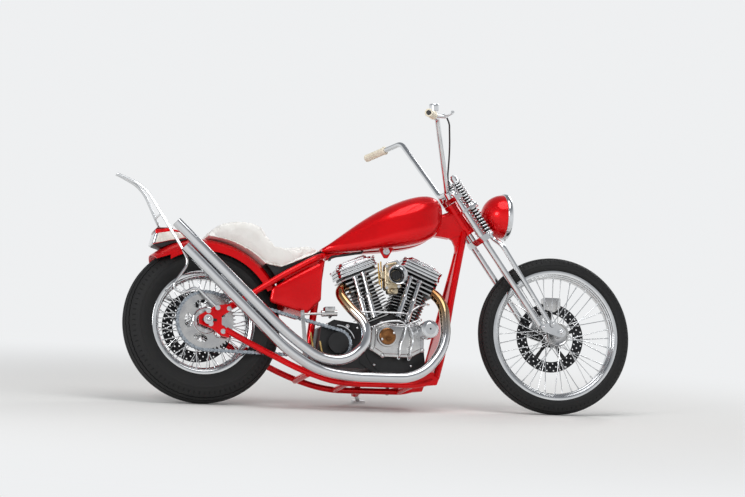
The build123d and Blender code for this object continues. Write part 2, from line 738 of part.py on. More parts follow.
def make_engine():
    parts = {}
    covers = []
    for side in (-1, 1):
        cover = fin_box(head_fin_half + 6, 68, head_end + 0.2, head_end + 34, 14)
        cover += fin_box(head_fin_half - 14, 58, head_end + 34, cover_end, 16)
        covers.append((cylinder_frame(side) * cover).solid())
    parts["cylinders"] = make_cylinders()
    parts["rocker_covers"] = Compound(children=covers)

    case = disc_y((crank_x, crank_z + 6), 118, -88, 88)
    # Its shoulders stay under the lowest fins of both banks.
    case += side_plate([(660, 180), (668, 339), (798, 393), (930, 338), (944, 180), (880, 144), (720, 144)],
                       -84, 84)
    case += side_plate([(474, 190), (494, 330), (548, 362), (640, 350), (690, 342), (690, 160), (500, 160)], -80, 84)
    case += disc_y((front_sprocket_x, front_sprocket_z), 30, -108, 0)
    case += disc_y((front_sprocket_x, front_sprocket_z), 44, -124, -108)
    for side in (-1, 1):
        case += cylinder_frame(side) * fin_box(62, 58, 96, barrel_start - 12.2, 20)
    barrel_feet = [cylinder_frame(side) * fin_box(46.3, 46.3, barrel_start - 12.2, barrel_end, 14)
                   for side in (-1, 1)]
    case -= joined(barrel_feet)
    parts["crankcase"] = case

    cam = side_plate([(692, 236), (702, 330), (740, 352), (812, 346), (900, 352), (930, 320),
                      (926, 236), (868, 206), (742, 206)], -89, -126, corner=12)
    cam += disc_y((763, 290), 42, -140, -126)
    cam += disc_y((763, 290), 38, -152, -140)
    parts["cam_cover"] = cam
    parts["oil_filter"] = disc_y((938, 322), 38, -186, -127)

    tubes = []
    # x and z of each tube's foot, then of its top
    for foot_x, foot_z, top_x, top_z in ((716, 371, 674, 566), (681, 357, 639, 545),
                                         (816, 375, 884, 556), (855, 356, 923, 540)):
        lower = Vector(foot_x, -112, foot_z)
        upper = Vector(top_x, -82, top_z)
        middle = lower + (upper - lower) * 0.5
        tube = rod(tuple(lower), tuple(middle), 11.5) + rod(tuple(middle), tuple(upper), 8.5)
        tubes.append(tube.solid())
    parts["pushrod_tubes"] = Compound(children=tubes)

    bell = (806, 552)
    carb = turned((0, 0), [(-158, 30), (-158, 40), (-140, 34), (-126, 30), (-96, 30), (-96, 21), (-138, 22)])
    carb = Pos(bell[0], 0, bell[1]) * carb
    carb += disc_y((792, 552), 21.5, -127, -58)
    carb += side_plate([(758, 488), (758, 600), (812, 612), (826, 560), (826, 500)], -126, -84, corner=8)
    carb -= disc_y(bell, 21, -170, -120)
    parts["carburettor"] = carb

    primary = side_plate([(560, 170), (560, 360), (820, 352), (820, 146)], 88.3, 142)
    primary += disc_y((560, 265), 95, 88.3, 142)
    primary += disc_y((820, 249), 103, 88.3, 142)
    parts["primary_cover"] = primary

    guard = turned((0, 0), [(chain_y - 14, 74), (chain_y - 14, 78), (-80.3, 78), (-80.3, 74)])
    guard = Pos(front_sprocket_x, 0, front_sprocket_z) * guard
    guard = guard & side_plate([(558, 259), (556, 360), (620, 350), (660, 290)], -130, -60)
    guard += disc_y((601, 332), 8, chain_y - 14, -80.3)
    parts["chain_guard"] = guard
    return parts


def exhaust(side, points):
    """A bent pipe from one head's port, bored at its open end."""
    pipe = bent_tube(points, pipe_radius) - head_block(side, joint_gap)
    end = Vector(*points[-1])
    inward = (Vector(*points[-2]) - end).normalized()
    pipe -= rod(tuple(end - inward * 2), tuple(end + inward * pipe_bore_depth), pipe_radius - pipe_wall)
    return pipe


def make_exhausts():
    parts = {}
    parts["exhaust_rear"] = exhaust(-1, [
        (616, -30, 520), (568, -78, 478), (600, -128, 410), (664, -168, 335), (662, -182, 250),
        (576, -190, 174), (459, -196, 178), (323, -196, 273), (-150, -196, 724)])
    parts["exhaust_front"] = exhaust(1, [
        (968, -30, 520), (1026, -84, 450), (1026, -136, 262), (896, -168, 112), (600, -178, 110),
        (455, -182, 131), (324, -183, 209), (-110, -183, 627)])
    return parts


def make_brake_parts():
    parts = {}
    cylinder = rod((482, -128, 377), (548, -128, 382), 13)
    cylinder += side_plate([(494, 386), (494, 404), (536, 406), (536, 388)], -146, -110)
    cylinder += rod((408, -128, 372), (484, -128, 377), 5)
    cylinder += rod((530, -126, 380), (530, -80, 372), 7)
    lever = side_plate([(392, 386), (406, 388), (420, 250), (404, 246)], -134, -124)
    lever += rod((412, -130, 252), (412, -108, 180), 7)
    caliper = side_plate([(112, 396), (150, 440), (110, 482), (62, 440)], 68, 98)
    caliper -= disc_y(rear_axle, disc_radius + 2, rear_disc_y - 5, rear_disc_y + 5)
    caliper += rod((100, 94, 410), (70, 104, 372), 6)
    parts["rear_brake"] = cylinder + lever + caliper

    peg = disc_y((846, 92), 10, 123.2, 160)
    peg += rod((846, 152, 88), (846, 152, 156), 8)
    peg += disc_y((846, 150), 12, 146, 244)
    shift = rod((846, 152, 150), (950, 156, 190), 6) + disc_y((950, 190), 8, 148, 196)
    parts["foot_controls"] = peg + shift
    return parts


# Where the axle lies along the steering axis, and the fork's points that follow from it
axle_along = (neck_setback * sin(radians(rake)) + (neck_top_z - front_axle_z) * cos(radians(rake)))
pivot_along = axle_along - 62.2
pin_along = axle_along - 50.2
rocker_pivot = steer_point(pivot_along, rigid_leg_offset)
rocker_pin = steer_point(pin_along, 55)
bar_base = neck_point(-29, 50, 40)
bar_bend = neck_point(-138, 269, 318)
bar_end = neck_point(-234, 471, 289)


def leg_side(side, ahead, along):
    """A point on the line of one fork leg."""
    return steer_point(along, ahead, side * fork_half_width)


def leg_taper(side, gap=0.0):
    """The rigid leg's upper part, thinner toward the top."""
    return rod(leg_side(side, rigid_leg_offset, leg_top_along), leg_side(side, rigid_leg_offset, leg_taper_along),
               10 + gap, rigid_leg_radius + 2 + gap)


def make_fork():
    parts = {}
    trees = rod(steer_point(-22, 0), steer_point(-2, 0), 30)
    trees += rod(steer_point(-22, 0), steer_point(neck_length + 62, 0), stem_radius)
    # along, thickness, rear reach, front reach
    wide = fork_half_width + rigid_leg_radius + 8
    for along, height, back, front in ((-22, 20, -22, 34), (neck_length + 34, 26, -22, 36)):
        outline = make_face(Polyline((back, -40), (back, 40), (0, wide), (front, wide), (front, -wide),
                                     (0, -wide), close=True))
        trees += steer_plane(along) * extrude(outline, amount=height)
    for side in (-1, 1):
        trees += rod(steer_point(-20, -2, side * 44), (bar_base[0] + 1, side * 44, bar_base[2] + 4), 15)
    for side in (-1, 1):
        trees -= rod(leg_side(side, rigid_leg_offset, leg_top_along), leg_side(side, rigid_leg_offset, 700),
                     rigid_leg_radius + 2.1)
    trees -= bar_tube(bar_radius + 0.1)
    parts["fork_trees"] = trees + spring_perch()

    legs = []
    for side in (-1, 1):
        lower = rod(leg_side(side, rigid_leg_offset, leg_taper_along),
                    leg_side(side, rigid_leg_offset, pivot_along - 6), rigid_leg_radius)
        eye = disc_y((rocker_pivot[0], rocker_pivot[2]), 15, side * (fork_half_width - 13.4),
                     side * (rocker_y - 0.4))
        legs.append((leg_taper(side) + lower + eye).solid())
    parts["fork_rigid_legs"] = Compound(children=legs)

    spring_legs = []
    for side in (-1, 1):
        y = side * spring_half_width
        top = steer_point(196, spring_offset, y)
        leg = bent_tube([top, steer_point(225, spring_offset + 4, y), leg_side(side, 70, 262),
                         leg_side(side, 55, pin_along - 4)], spring_leg_radius)
        leg += rod(steer_point(-86, spring_offset, y), steer_point(200, spring_offset, y), spring_rod_radius)
        leg += rod(steer_point(-92, spring_offset, y), steer_point(-70, spring_offset, y), 15)
        leg += rod(steer_point(194, spring_offset, y), steer_point(202, spring_offset, y), spring_radius)
        leg += disc_y((rocker_pin[0], rocker_pin[2]), 12, side * (fork_half_width - 10.4),
                      side * (rocker_y - 0.4))
        spring_legs.append(leg.solid())
    parts["fork_spring_legs"] = Compound(children=spring_legs)

    coils = []
    for start, end in ((-68, perch_along - 0.7), (perch_along + perch_thickness + 0.7, 193.5)):
        for side in (-1, 1):
            coils.append(spring(start, end, side * spring_half_width))
    parts["fork_springs"] = Compound(children=coils)
    parts["fork_rockers"] = make_rockers()
    return parts


def make_rockers():
    """The axle with a rocker on each side, from the rigid leg's pivot past the spring leg's pin."""
    link = disc_y(front_axle, front_hub_bore - 0.2, -rocker_y - 20, rocker_y + 20)
    for side in (-1, 1):
        outline = [(rocker_pivot[0] - 15, rocker_pivot[2] - 4), (rocker_pivot[0] - 2, rocker_pivot[2] + 15),
                   (rocker_pin[0] + 10, rocker_pin[2] + 14), near_axle(front_axle, 16, 12),
                   near_axle(front_axle, 18, -12), near_axle(front_axle, -8, -18),
                   (rocker_pivot[0] - 4, rocker_pivot[2] - 15)]
        link += side_plate(outline, side * rocker_y, side * (rocker_y + rocker_thickness), corner=6)
        for joint in (rocker_pivot, rocker_pin):
            link += disc_y((joint[0], joint[2]), 9, side * (rocker_y + 2),
                           side * (rocker_y + rocker_thickness + 8))
        link += disc_y(front_axle, 13, side * 59, side * (rocker_y + 2))
        link += disc_y(front_axle, 13, side * (rocker_y + 2), side * (rocker_y + rocker_thickness + 9))
    return link


def spring_perch():
    """The arched plate between the two pairs of springs, with the lamp's bracket."""
    wide = fork_half_width + rigid_leg_radius + 6
    outer = [(-6, wide), (28, wide), (spring_offset + 22, spring_half_width + 16)]
    inner = [(spring_offset - 20, 30), (10, fork_half_width - 20), (-6, fork_half_width - 20)]
    mirror = [(x, -y) for x, y in reversed(outer)] + [(x, -y) for x, y in reversed(inner)]
    outline = make_face(Polyline(*(outer + mirror + inner), close=True))
    perch = steer_plane(perch_along) * extrude(outline, amount=perch_thickness)
    middle = perch_along + perch_thickness / 2
    perch += rod(steer_point(middle, spring_offset), steer_point(middle + 7, spring_offset + 44), 9)
    for side in (-1, 1):
        y = side * spring_half_width
        perch -= rod(steer_point(40, spring_offset, y), steer_point(70, spring_offset, y), spring_rod_radius + 1)
        perch -= leg_taper(side, 0.2)
    return perch


def spring(start, end, y):
    """A coil spring drawn as its stack of turns, on the rod that runs through it."""
    profile = []
    for i in range(2 * spring_coils + 1):
        profile.append(((end - start) * i / (2 * spring_coils), spring_radius - (0 if i % 2 else spring_wave)))
    profile += [(end - start, spring_rod_radius + 1), (0, spring_rod_radius + 1)]
    return steer_plane(start, spring_offset, y) * faceted_ring(profile, spring_sides)


def bar_tube(radius):
    """The handlebar's line swept with a given radius."""
    half = [bar_end, bar_bend, bar_base]
    points = half + [(x, -y, z) for x, y, z in reversed(half)]
    return bent_tube(points, radius, bend_limit=45)


def bar_point(side, inboard, ahead=0.0, above=0.0):
    """A point that far inboard of one bar end, ahead of it and above it."""
    start = Vector(bar_end[0], side * bar_end[1], bar_end[2])
    inward = (Vector(bar_bend[0], side * bar_bend[1], bar_bend[2]) - start).normalized()
    return tuple(start + inward * inboard + Vector(ahead, 0, above))


def make_controls():
    parts = {}
    parts["handlebar"] = bar_tube(bar_radius)

    grips = []
    for side in (-1, 1):
        grip = rod(bar_point(side, -grip_overhang), bar_point(side, grip_length), grip_radius)
        grip -= rod(bar_point(side, 0), bar_point(side, 2 * grip_length), bar_radius + 0.05)
        grips.append(grip.solid())
    parts["grips"] = Compound(children=grips)

    # The right bar's clamp with its fluid cup, its boss and the lever that points out over the grip
    clamp = grip_length + 4
    controls = rod(bar_point(-1, clamp), bar_point(-1, clamp + 34), 17)
    controls += rod(bar_point(-1, clamp + 17, 2, 14), bar_point(-1, clamp + 17, 4, 48), 19)
    controls += rod(bar_point(-1, clamp + 17, 10, 0), bar_point(-1, clamp + 17, 52, -6), 9)
    controls += rod(bar_point(-1, clamp + 17, 46, -6), bar_point(-1, clamp - 80, 46, -10), 6)
    controls -= bar_tube(bar_radius + 0.05)
    parts["hand_controls"] = controls
    cable_start = bar_point(-1, clamp + 17, 56, -6)
    cable = [cable_start, (cable_start[0] + 14, cable_start[1] + 12, cable_start[2] - 22),
             neck_point(-58, -190, 199), neck_point(-30, -64, 104), steer_point(-52, 24, -30),
             steer_point(-22.4, 24, -30)]
    parts["bar_cable"] = bent_tube(cable, cable_radius)

    lamp = neck_point(233, 0, -41)
    bowl = make_face(Polyline((0, 0), (-92, 0), (-90, 16), (-78, 46), (-52, 74), (-18, 91), (0, 94), close=True))
    shell = revolve(bowl, axis=Axis.X)
    shell += rod((0, 0, 0), (22, 0, 0), 99)
    shell -= rod((0.2, 0, 0), (30, 0, 0), lens_radius)
    parts["headlamp_shell"] = Pos(*lamp) * shell
    parts["headlamp_lens"] = Pos(*lamp) * rod((0.2, 0, 0), (20, 0, 0), lens_radius)

    # The front caliper straddles the disc, on a plate that reaches the left leg's pivot
    body = [near_axle(front_axle, ahead, above) for ahead, above in
            ((-33, 122), (-33, 172), (45, 172), (45, 130), (15, 110))]
    caliper = side_plate(body, 32, 66, corner=5)
    caliper -= disc_y(front_axle, disc_radius + 2, front_disc_y - 5, front_disc_y + 5)
    plate = [(rocker_pivot[0] - 13, rocker_pivot[2] - 2), (rocker_pivot[0] + 3, rocker_pivot[2] - 13),
             near_axle(front_axle, 2, 128), near_axle(front_axle, -4, 166), near_axle(front_axle, -26, 166)]
    caliper += side_plate(plate, 60, fork_half_width - 13.8)
    parts["front_caliper"] = caliper
    return parts


def make_side_stand():
    """The leg, from its hinge on the left rail to its foot on the ground."""
    ground_z = stand_foot[1] * tan(radians(lean))
    foot_thickness = 10
    tip = (stand_foot[0], stand_foot[1], ground_z + foot_thickness)
    leg = rod(stand_pivot, tip, 10)
    leg += rod(stand_point(-stand_lug_inner + 1), stand_point(stand_lug_inner - 1), 16)
    leg -= rod(stand_point(-30), stand_point(30), stand_pin_radius + 0.3)
    pad_plane = Plane(origin=(stand_foot[0], stand_foot[1], ground_z),
                      x_dir=(1, 0, 0), z_dir=(0, -sin(radians(lean)), cos(radians(lean))))
    leg += pad_plane * extrude(RectangleRounded(58, 36, 12), amount=foot_thickness + 2)
    return {"side_stand": leg}


def make_all():
    parts = {}
    for maker in (make_frame, make_bodywork, make_rear_fittings, make_engine, make_exhausts,
                  make_brake_parts, make_fork, make_controls, make_front_wheel, make_rear_wheel,
                  make_side_stand):
        parts.update(maker())
    parts["chain"] = chain_loop()
    return parts


def leaned(shape):
    """The shape turned about the line on which the tyres stand."""
    return Rot(-lean, 0, 0) * shape


def origin_shift(parts):
    """What moves the origin to the middle of the leaned machine's footprint."""
    boxes = [shape.bounding_box() for shape in parts.values()]
    middle_x = (min(b.min.X for b in boxes) + max(b.max.X for b in boxes)) / 2
    middle_y = (min(b.min.Y for b in boxes) + max(b.max.Y for b in boxes)) / 2
    return (-middle_x, -middle_y, 0)


def main():
    os.makedirs("parts", exist_ok=True)
    parts = {name: leaned(shape) for name, shape in make_all().items()}
    shift = origin_shift(parts)
    for name, shape in parts.items():
        export_step(Pos(*shift) * shape, "parts/" + name + ".step")
    print("origin shift", [round(value, 3) for value in shift])


if __name__ == "__main__":
    main()
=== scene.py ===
import json
import bmesh
import bpy
import numpy as np
from bpy.props import FloatProperty, FloatVectorProperty, IntProperty, PointerProperty
from mathutils import Matrix, Vector


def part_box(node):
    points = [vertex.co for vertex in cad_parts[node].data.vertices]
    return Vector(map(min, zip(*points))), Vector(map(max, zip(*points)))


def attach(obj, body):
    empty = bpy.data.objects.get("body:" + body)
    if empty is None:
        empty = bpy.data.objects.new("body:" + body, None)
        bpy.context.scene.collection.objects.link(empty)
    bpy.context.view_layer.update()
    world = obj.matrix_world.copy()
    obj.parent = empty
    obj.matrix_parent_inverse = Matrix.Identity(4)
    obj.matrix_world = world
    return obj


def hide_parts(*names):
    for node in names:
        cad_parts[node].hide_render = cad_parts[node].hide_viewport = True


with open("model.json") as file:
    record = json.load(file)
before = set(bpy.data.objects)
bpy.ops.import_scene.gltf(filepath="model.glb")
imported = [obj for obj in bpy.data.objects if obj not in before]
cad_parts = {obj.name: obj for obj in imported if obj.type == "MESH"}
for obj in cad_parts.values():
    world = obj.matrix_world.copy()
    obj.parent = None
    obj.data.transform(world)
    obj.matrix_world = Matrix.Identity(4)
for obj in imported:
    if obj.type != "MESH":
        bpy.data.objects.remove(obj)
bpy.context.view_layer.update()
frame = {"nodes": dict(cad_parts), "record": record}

bl_info = {
    "name": "Rigid-frame chopper",
    "version": (1, 0, 0),
    "blender": (4, 5, 0),
    "location": "3D View > Sidebar > Chopper",
    "description": "Dresses the packed frame of a rigid-frame chopper with its pieces and finishes",
    "category": "Object",
}

# The machine is described upright in millimetres: x ahead of the rear axle, y to its left, z up
# from the ground. It leans by this angle on its side stand.
LEAN = np.radians(12.0)
RAKE = np.radians(34.5)
WHEELBASE = 1545.0
FRONT_RADIUS = 338.6
FRONT_CROWN = 42.0
REAR_RADIUS = 332.6
REAR_CROWN = 65.0
FRONT_AXLE = np.array([WHEELBASE, 0.0, FRONT_RADIUS - FRONT_CROWN + FRONT_CROWN / np.cos(LEAN)])
REAR_AXLE = np.array([0.0, 0.0, REAR_RADIUS - REAR_CROWN + REAR_CROWN / np.cos(LEAN)])
NECK = np.array([1085.0, 0.0, 890.0])
AHEAD, ACROSS, UP = np.eye(3)
RIGHT = -ACROSS
STEER_DOWN = np.array([np.sin(RAKE), 0.0, -np.cos(RAKE)])
STEER_AHEAD = np.array([np.cos(RAKE), 0.0, np.sin(RAKE)])


def origin_shift():
    """Where the upright rear axle's foot lies in the frame, read from the rear tyre's box, in metres."""
    low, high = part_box("rear_tyre")
    return np.array([(low.x + high.x) / 2, (low.y + high.y) / 2 - REAR_AXLE[2] / 1000 * np.sin(LEAN), 0.0])


SHIFT = origin_shift()


def place(points):
    """Upright millimetres to the frame's metres: x kept, y and z turned by the lean, then shifted."""
    points = np.asarray(points, float) / 1000
    x, y, z = points[..., 0], points[..., 1], points[..., 2]
    turned = np.stack([x, y * np.cos(LEAN) + z * np.sin(LEAN), z * np.cos(LEAN) - y * np.sin(LEAN)], -1)
    return turned + SHIFT


def steer(along, ahead, y=0.0):
    """A point given along the steering axis (down), ahead of it and sideways, in upright millimetres."""
    return NECK + STEER_DOWN * along + STEER_AHEAD * ahead + ACROSS * y


# Shapes: each is (points, [arrays of faces, one array for each number of corners])


def grid_faces(rows, columns, close_rows, close_columns):
    """Quads between neighbours of a rows x columns grid; closing joins the last line to the first."""
    i, j = np.meshgrid(np.arange(rows if close_rows else rows - 1),
                       np.arange(columns if close_columns else columns - 1), indexing="ij")
    after_i, after_j = (i + 1) % rows, (j + 1) % columns
    corners = [i * columns + j, after_i * columns + j, after_i * columns + after_j, i * columns + after_j]
    return np.stack(corners, -1).reshape(-1, 4)


def joined(shapes):
    """Several shapes as one."""
    points, faces, offset = [], [], 0
    for shape_points, shape_faces in shapes:
        points.append(shape_points)
        faces += [array + offset for array in shape_faces]
        offset += len(shape_points)
    return np.concatenate(points), faces


def copies(shape, turns, moves):
    """The shape repeated: each copy's points are turned by a 3x3 matrix and then moved."""
    points, faces = shape
    turns, moves = np.asarray(turns, float), np.asarray(moves, float)
    all_points = np.einsum("kij,nj->kni", turns, points) + moves[:, None, :]
    offsets = np.arange(len(turns)) * len(points)
    all_faces = [(array[None] + offsets[:, None, None]).reshape(-1, array.shape[1]) for array in faces]
    return all_points.reshape(-1, 3), all_faces


def lathe(profile, origin, axis, segments=64, closed=True):
    """An (along, radius) profile turned about an axis: origin + along*axis + radius*(cos t, sin t)."""
    profile = np.asarray(profile, float)
    axis = np.asarray(axis, float) / np.linalg.norm(axis)
    side = np.cross(axis, [0.0, 1.0, 0.0] if abs(axis[1]) < 0.9 else [1.0, 0.0, 0.0])
    side /= np.linalg.norm(side)
    other = np.cross(axis, side)
    t = np.linspace(0, 2 * np.pi, segments, endpoint=False)
    ring = np.cos(t)[:, None] * side + np.sin(t)[:, None] * other
    along, radius = profile[None, :, 0, None], profile[None, :, 1, None]
    points = np.asarray(origin, float) + along * axis + radius * ring[:, None]
    return points.reshape(-1, 3), [grid_faces(segments, len(profile), True, closed)]


# The share of the shorter side that one corner's arc may take up
ARC_SHARE = 0.47


def rounded(points, limit, steps=8):
    """A line with each corner replaced by an arc, at most of that radius, that spares the side's middle."""
    points = np.asarray(points, float)
    line = [points[0]]
    for before, corner, after in zip(points, points[1:], points[2:]):
        first, second = corner - before, after - corner
        len_first, len_second = np.linalg.norm(first), np.linalg.norm(second)
        first, second = first / len_first, second / len_second
        half = np.arccos(np.clip(first @ second, -1, 1)) / 2
        if half < 1e-4:
            line.append(corner)
            continue
        radius = min(ARC_SHARE * min(len_first, len_second) / np.tan(half), limit)
        start = corner - first * radius * np.tan(half)
        inward = (second - first) / np.linalg.norm(second - first)
        centre = corner + inward * radius / np.cos(half)
        sweep = np.linspace(0, 2 * half, steps)[:, None]
        arm = start - centre
        line += list(centre + arm * np.cos(sweep) + first * radius * np.sin(sweep))
    line.append(points[-1])
    return np.array(line)


def smooth_line(points, count):
    """A line of count points through the given ones, by a centripetal Catmull-Rom cubic."""
    points = np.asarray(points, float)
    full = np.concatenate([[2 * points[0] - points[1]], points, [2 * points[-1] - points[-2]]])
    knots = np.concatenate([[0], np.cumsum(np.linalg.norm(np.diff(full, axis=0), axis=1) ** 0.5)])
    t = np.linspace(knots[1], knots[-2], count)
    i = np.clip(np.searchsorted(knots, t, side="right") - 1, 1, len(knots) - 3)
    p0, p1, p2, p3 = full[i - 1], full[i], full[i + 1], full[i + 2]
    k0, k1, k2, k3 = (knots[i + d][:, None] for d in (-1, 0, 1, 2))
    t = t[:, None]
    a1 = (k1 - t) / (k1 - k0) * p0 + (t - k0) / (k1 - k0) * p1
    a2 = (k2 - t) / (k2 - k1) * p1 + (t - k1) / (k2 - k1) * p2
    a3 = (k3 - t) / (k3 - k2) * p2 + (t - k2) / (k3 - k2) * p3
    b1 = (k2 - t) / (k2 - k0) * a1 + (t - k0) / (k2 - k0) * a2
    b2 = (k3 - t) / (k3 - k1) * a2 + (t - k1) / (k3 - k1) * a3
    return (k2 - t) / (k2 - k1) * b1 + (t - k1) / (k2 - k1) * b2


def swept(line, radius, sides, flatten=1.0, level=None):
    """A round section carried along a line, with flat ends: line + radius*(cos a * n + sin a * b).

    n stays near the given direction, or else square to the line's own plane."""
    line = np.asarray(line, float)
    radius = np.broadcast_to(np.asarray(radius, float), (len(line),))
    ahead = np.gradient(line, axis=0)
    ahead /= np.linalg.norm(ahead, axis=1)[:, None]
    spread = np.linalg.svd(line - line.mean(0), full_matrices=False)[2][-1] if level is None else level
    across = spread - (ahead @ spread)[:, None] * ahead
    weak = np.linalg.norm(across, axis=1) < 0.05
    across[weak] = np.cross(ahead[weak], [0.3, 0.5, 0.8])
    across /= np.linalg.norm(across, axis=1)[:, None]
    third = np.cross(ahead, across)
    a = np.linspace(0, 2 * np.pi, sides, endpoint=False)
    ring = np.cos(a)[None, :, None] * across[:, None] * flatten + np.sin(a)[None, :, None] * third[:, None]
    points = (line[:, None] + ring * radius[:, None, None]).reshape(-1, 3)
    first = np.arange(sides)[None]
    ends = np.concatenate([first[:, ::-1], first + (len(line) - 1) * sides])
    return points, [grid_faces(len(line), sides, False, True), ends]


def rod(start, end, radius, end_radius=None, sides=24):
    """A round bar or cone from one point to the other."""
    ends = [radius, radius if end_radius is None else end_radius]
    return swept(np.array([start, end], float), ends, sides)


def prism(rows, sides):
    """A prism along +z with a flat top: one ring of that many corners for each (radius, height) row."""
    a = np.linspace(0, 2 * np.pi, sides, endpoint=False)
    points = np.concatenate([np.stack([np.cos(a) * radius, np.sin(a) * radius, np.full(sides, height)], -1)
                             for radius, height in rows])
    top = np.arange((len(rows) - 1) * sides, len(rows) * sides)[None]
    return points, [grid_faces(len(rows), sides, False, True)[:, ::-1], top]


def hexagon_bolt(size, height):
    """A bolt head along +z on its washer: a six-sided prism with a cut top edge."""
    washer, seat = size * 1.35, height * 0.22
    return joined([prism([(washer, 0.0), (washer, seat)], 18),
                   prism([(size, seat), (size, height * 0.85), (size * 0.86, height)], 6)])


def dome_bolt(size, height, rise=0.0):
    """A round-topped screw head along +z, from a rise: a quarter of an ellipse turned about its axis."""
    t = np.linspace(0, np.pi / 2 * 0.92, 4)
    profile = np.stack([np.sin(t) * height, np.cos(t) * size], -1)
    profile = np.concatenate([[[0, size]], profile])
    sides = 16
    points, faces = lathe(profile, (0, 0, rise), UP, sides, closed=False)
    top = np.arange(sides) * len(profile) + len(profile) - 1
    return points, faces + [top[None]]


def capped_nut(size, height, cap, cap_height):
    """A nut along +z with a domed cap on it."""
    return joined([hexagon_bolt(size, height), dome_bolt(cap, cap_height, height)])


def facing(direction):
    """A turn that carries +z onto the direction."""
    z = np.asarray(direction, float) / np.linalg.norm(direction)
    x = np.cross([0.0, 1.0, 0.0] if abs(z[1]) < 0.9 else [1.0, 0.0, 0.0], z)
    x /= np.linalg.norm(x)
    return np.stack([x, np.cross(z, x), z], -1)


def closed_rounded(points, radius, steps=5):
    """A closed outline with each corner replaced by an arc, started at the middle of its first side."""
    points = np.asarray(points, float)
    start = (points[0] + points[-1]) / 2
    return rounded(np.concatenate([[start], points, [start]]), radius, steps)[:-1]


def outward_normals(outline):
    """Unit normals of a closed flat outline, pointing out of it, and the outline run anticlockwise."""
    outline = np.asarray(outline, float)
    u, v = outline[:, 0], outline[:, 1]
    if np.sum(u * np.roll(v, -1) - v * np.roll(u, -1)) < 0:
        outline = outline[::-1]
    ahead = np.roll(outline, -1, 0) - np.roll(outline, 1, 0)
    normal = np.stack([ahead[:, 1], -ahead[:, 0]], -1)
    return outline, normal / np.linalg.norm(normal, axis=1)[:, None]


def slab(outline, low, high, edge):
    """A plate with rounded rims: the outline is drawn in by edge*(1 - sin t) at height edge*(1 - cos t)."""
    outline, normal = outward_normals(outline)
    t = np.linspace(0, np.pi / 2, 4)
    inset = edge * (1 - np.sin(t))
    rise = edge * (1 - np.cos(t))
    inset = np.concatenate([inset, inset[::-1]])
    height = np.concatenate([low + rise, (high - rise)[::-1]])
    flat = outline[None] - inset[:, None, None] * normal[None]
    points = np.concatenate([flat, np.broadcast_to(height[:, None, None], flat.shape[:2] + (1,))], -1)
    n = len(outline)
    ends = np.stack([np.arange(n)[::-1], np.arange(n) + (len(height) - 1) * n])
    return points.reshape(-1, 3), [grid_faces(len(height), n, False, True), ends]


def band(outline, low, high, out, inside):
    """A thin ring that follows the outline, a rectangle in section, between two heights."""
    outline, normal = outward_normals(outline)
    rows = ((-inside, low), (out, low), (out, high), (-inside, high))
    flat = [np.concatenate([outline + offset * normal, np.full((len(outline), 1), height)], -1)
            for offset, height in rows]
    return np.concatenate(flat), [grid_faces(4, len(outline), True, True)]


def seated(shape, origin, u, v, w):
    """A shape given in (u, v, w) coordinates, set at an origin with these three directions."""
    points, faces = shape
    return points @ np.array([u, v, w], float) + np.asarray(origin, float), faces


def set_on(shape, origin, direction):
    """A shape that stands on +z, set at a point so that it faces the direction."""
    return seated(shape, origin, *facing(direction).T)


def stood(shape):
    """A flat shape drawn in (x, z) and raised in y, in its place on the machine."""
    return seated(shape, (0, 0, 0), AHEAD, UP, ACROSS)


def side_plate(outline, y_from, y_to, edge, corner):
    """A plate with rounded rims cut to an outline of (x, z) points, between two y values."""
    return stood(slab(closed_rounded(outline, corner), y_from, y_to, edge))


def box_outline(half_u, half_v, corner):
    """A rectangle with cut corners."""
    u, v = half_u - corner, half_v - corner
    return np.array([(-u, -half_v), (u, -half_v), (half_u, -v), (half_u, v), (u, half_v), (-u, half_v),
                     (-half_u, v), (-half_u, -v)], float)


def bolts(places, shape):
    """Bolt heads at (x, y, z, direction) places; the direction is a vector that the head faces."""
    turns = [facing(place[3]) for place in places]
    return copies(shape, turns, [place[:3] for place in places])


CRANK = np.array([798.0, 0.0, 249.0])
HALF_VEE = np.radians(22.5)


def cylinder_axes(side):
    """Directions of one cylinder: ahead, across and along its bore."""
    tilt = HALF_VEE * side
    return (np.array([np.cos(tilt), 0, -np.sin(tilt)]), ACROSS, np.array([np.sin(tilt), 0, np.cos(tilt)]))


def add_piece(name, shapes, slot, body="frame", crease=35, finish=None, replaces=None):
    """Makes one object of a shape or a list of shapes, in place in the frame, riding on its body.

    Its finish is its slot's where none is named, and it may stand for one CAD node."""
    points, faces = joined(shapes) if isinstance(shapes, list) else shapes
    corners = np.concatenate([array.ravel() for array in faces])
    sizes = np.concatenate([np.full(len(array), array.shape[1]) for array in faces])
    mesh = bpy.data.meshes.new(name)
    mesh.vertices.add(len(points))
    mesh.vertices.foreach_set("co", place(points).ravel())
    mesh.loops.add(len(corners))
    mesh.loops.foreach_set("vertex_index", corners.astype(np.int32))
    mesh.polygons.add(len(sizes))
    mesh.polygons.foreach_set("loop_start", np.concatenate([[0], np.cumsum(sizes)[:-1]]).astype(np.int32))
    mesh.update(calc_edges=True)
    mesh.validate()
    work = bmesh.new()
    work.from_mesh(mesh)
    bmesh.ops.recalc_face_normals(work, faces=work.faces)
    work.to_mesh(mesh)
    work.free()
    mesh.polygons.foreach_set("use_smooth", np.ones(len(mesh.polygons), bool))
    piece = bpy.data.objects.new(name, mesh)
    bpy.context.scene.collection.objects.link(piece)
    mesh.materials.append(MATERIALS[finish or slot])
    if crease is not None:
        split = piece.modifiers.new("Crease", "EDGE_SPLIT")
        split.split_angle = np.radians(crease)
    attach(piece, body)
    if replaces:
        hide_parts(replaces)


# Materials

# Filled by make_materials when the CAD nodes get their finishes
MATERIALS = {}

# Where the two pipes leave the heads, in upright millimetres
EXHAUST_PORTS = ((616.0, -30.0, 520.0), (968.0, -30.0, 520.0))


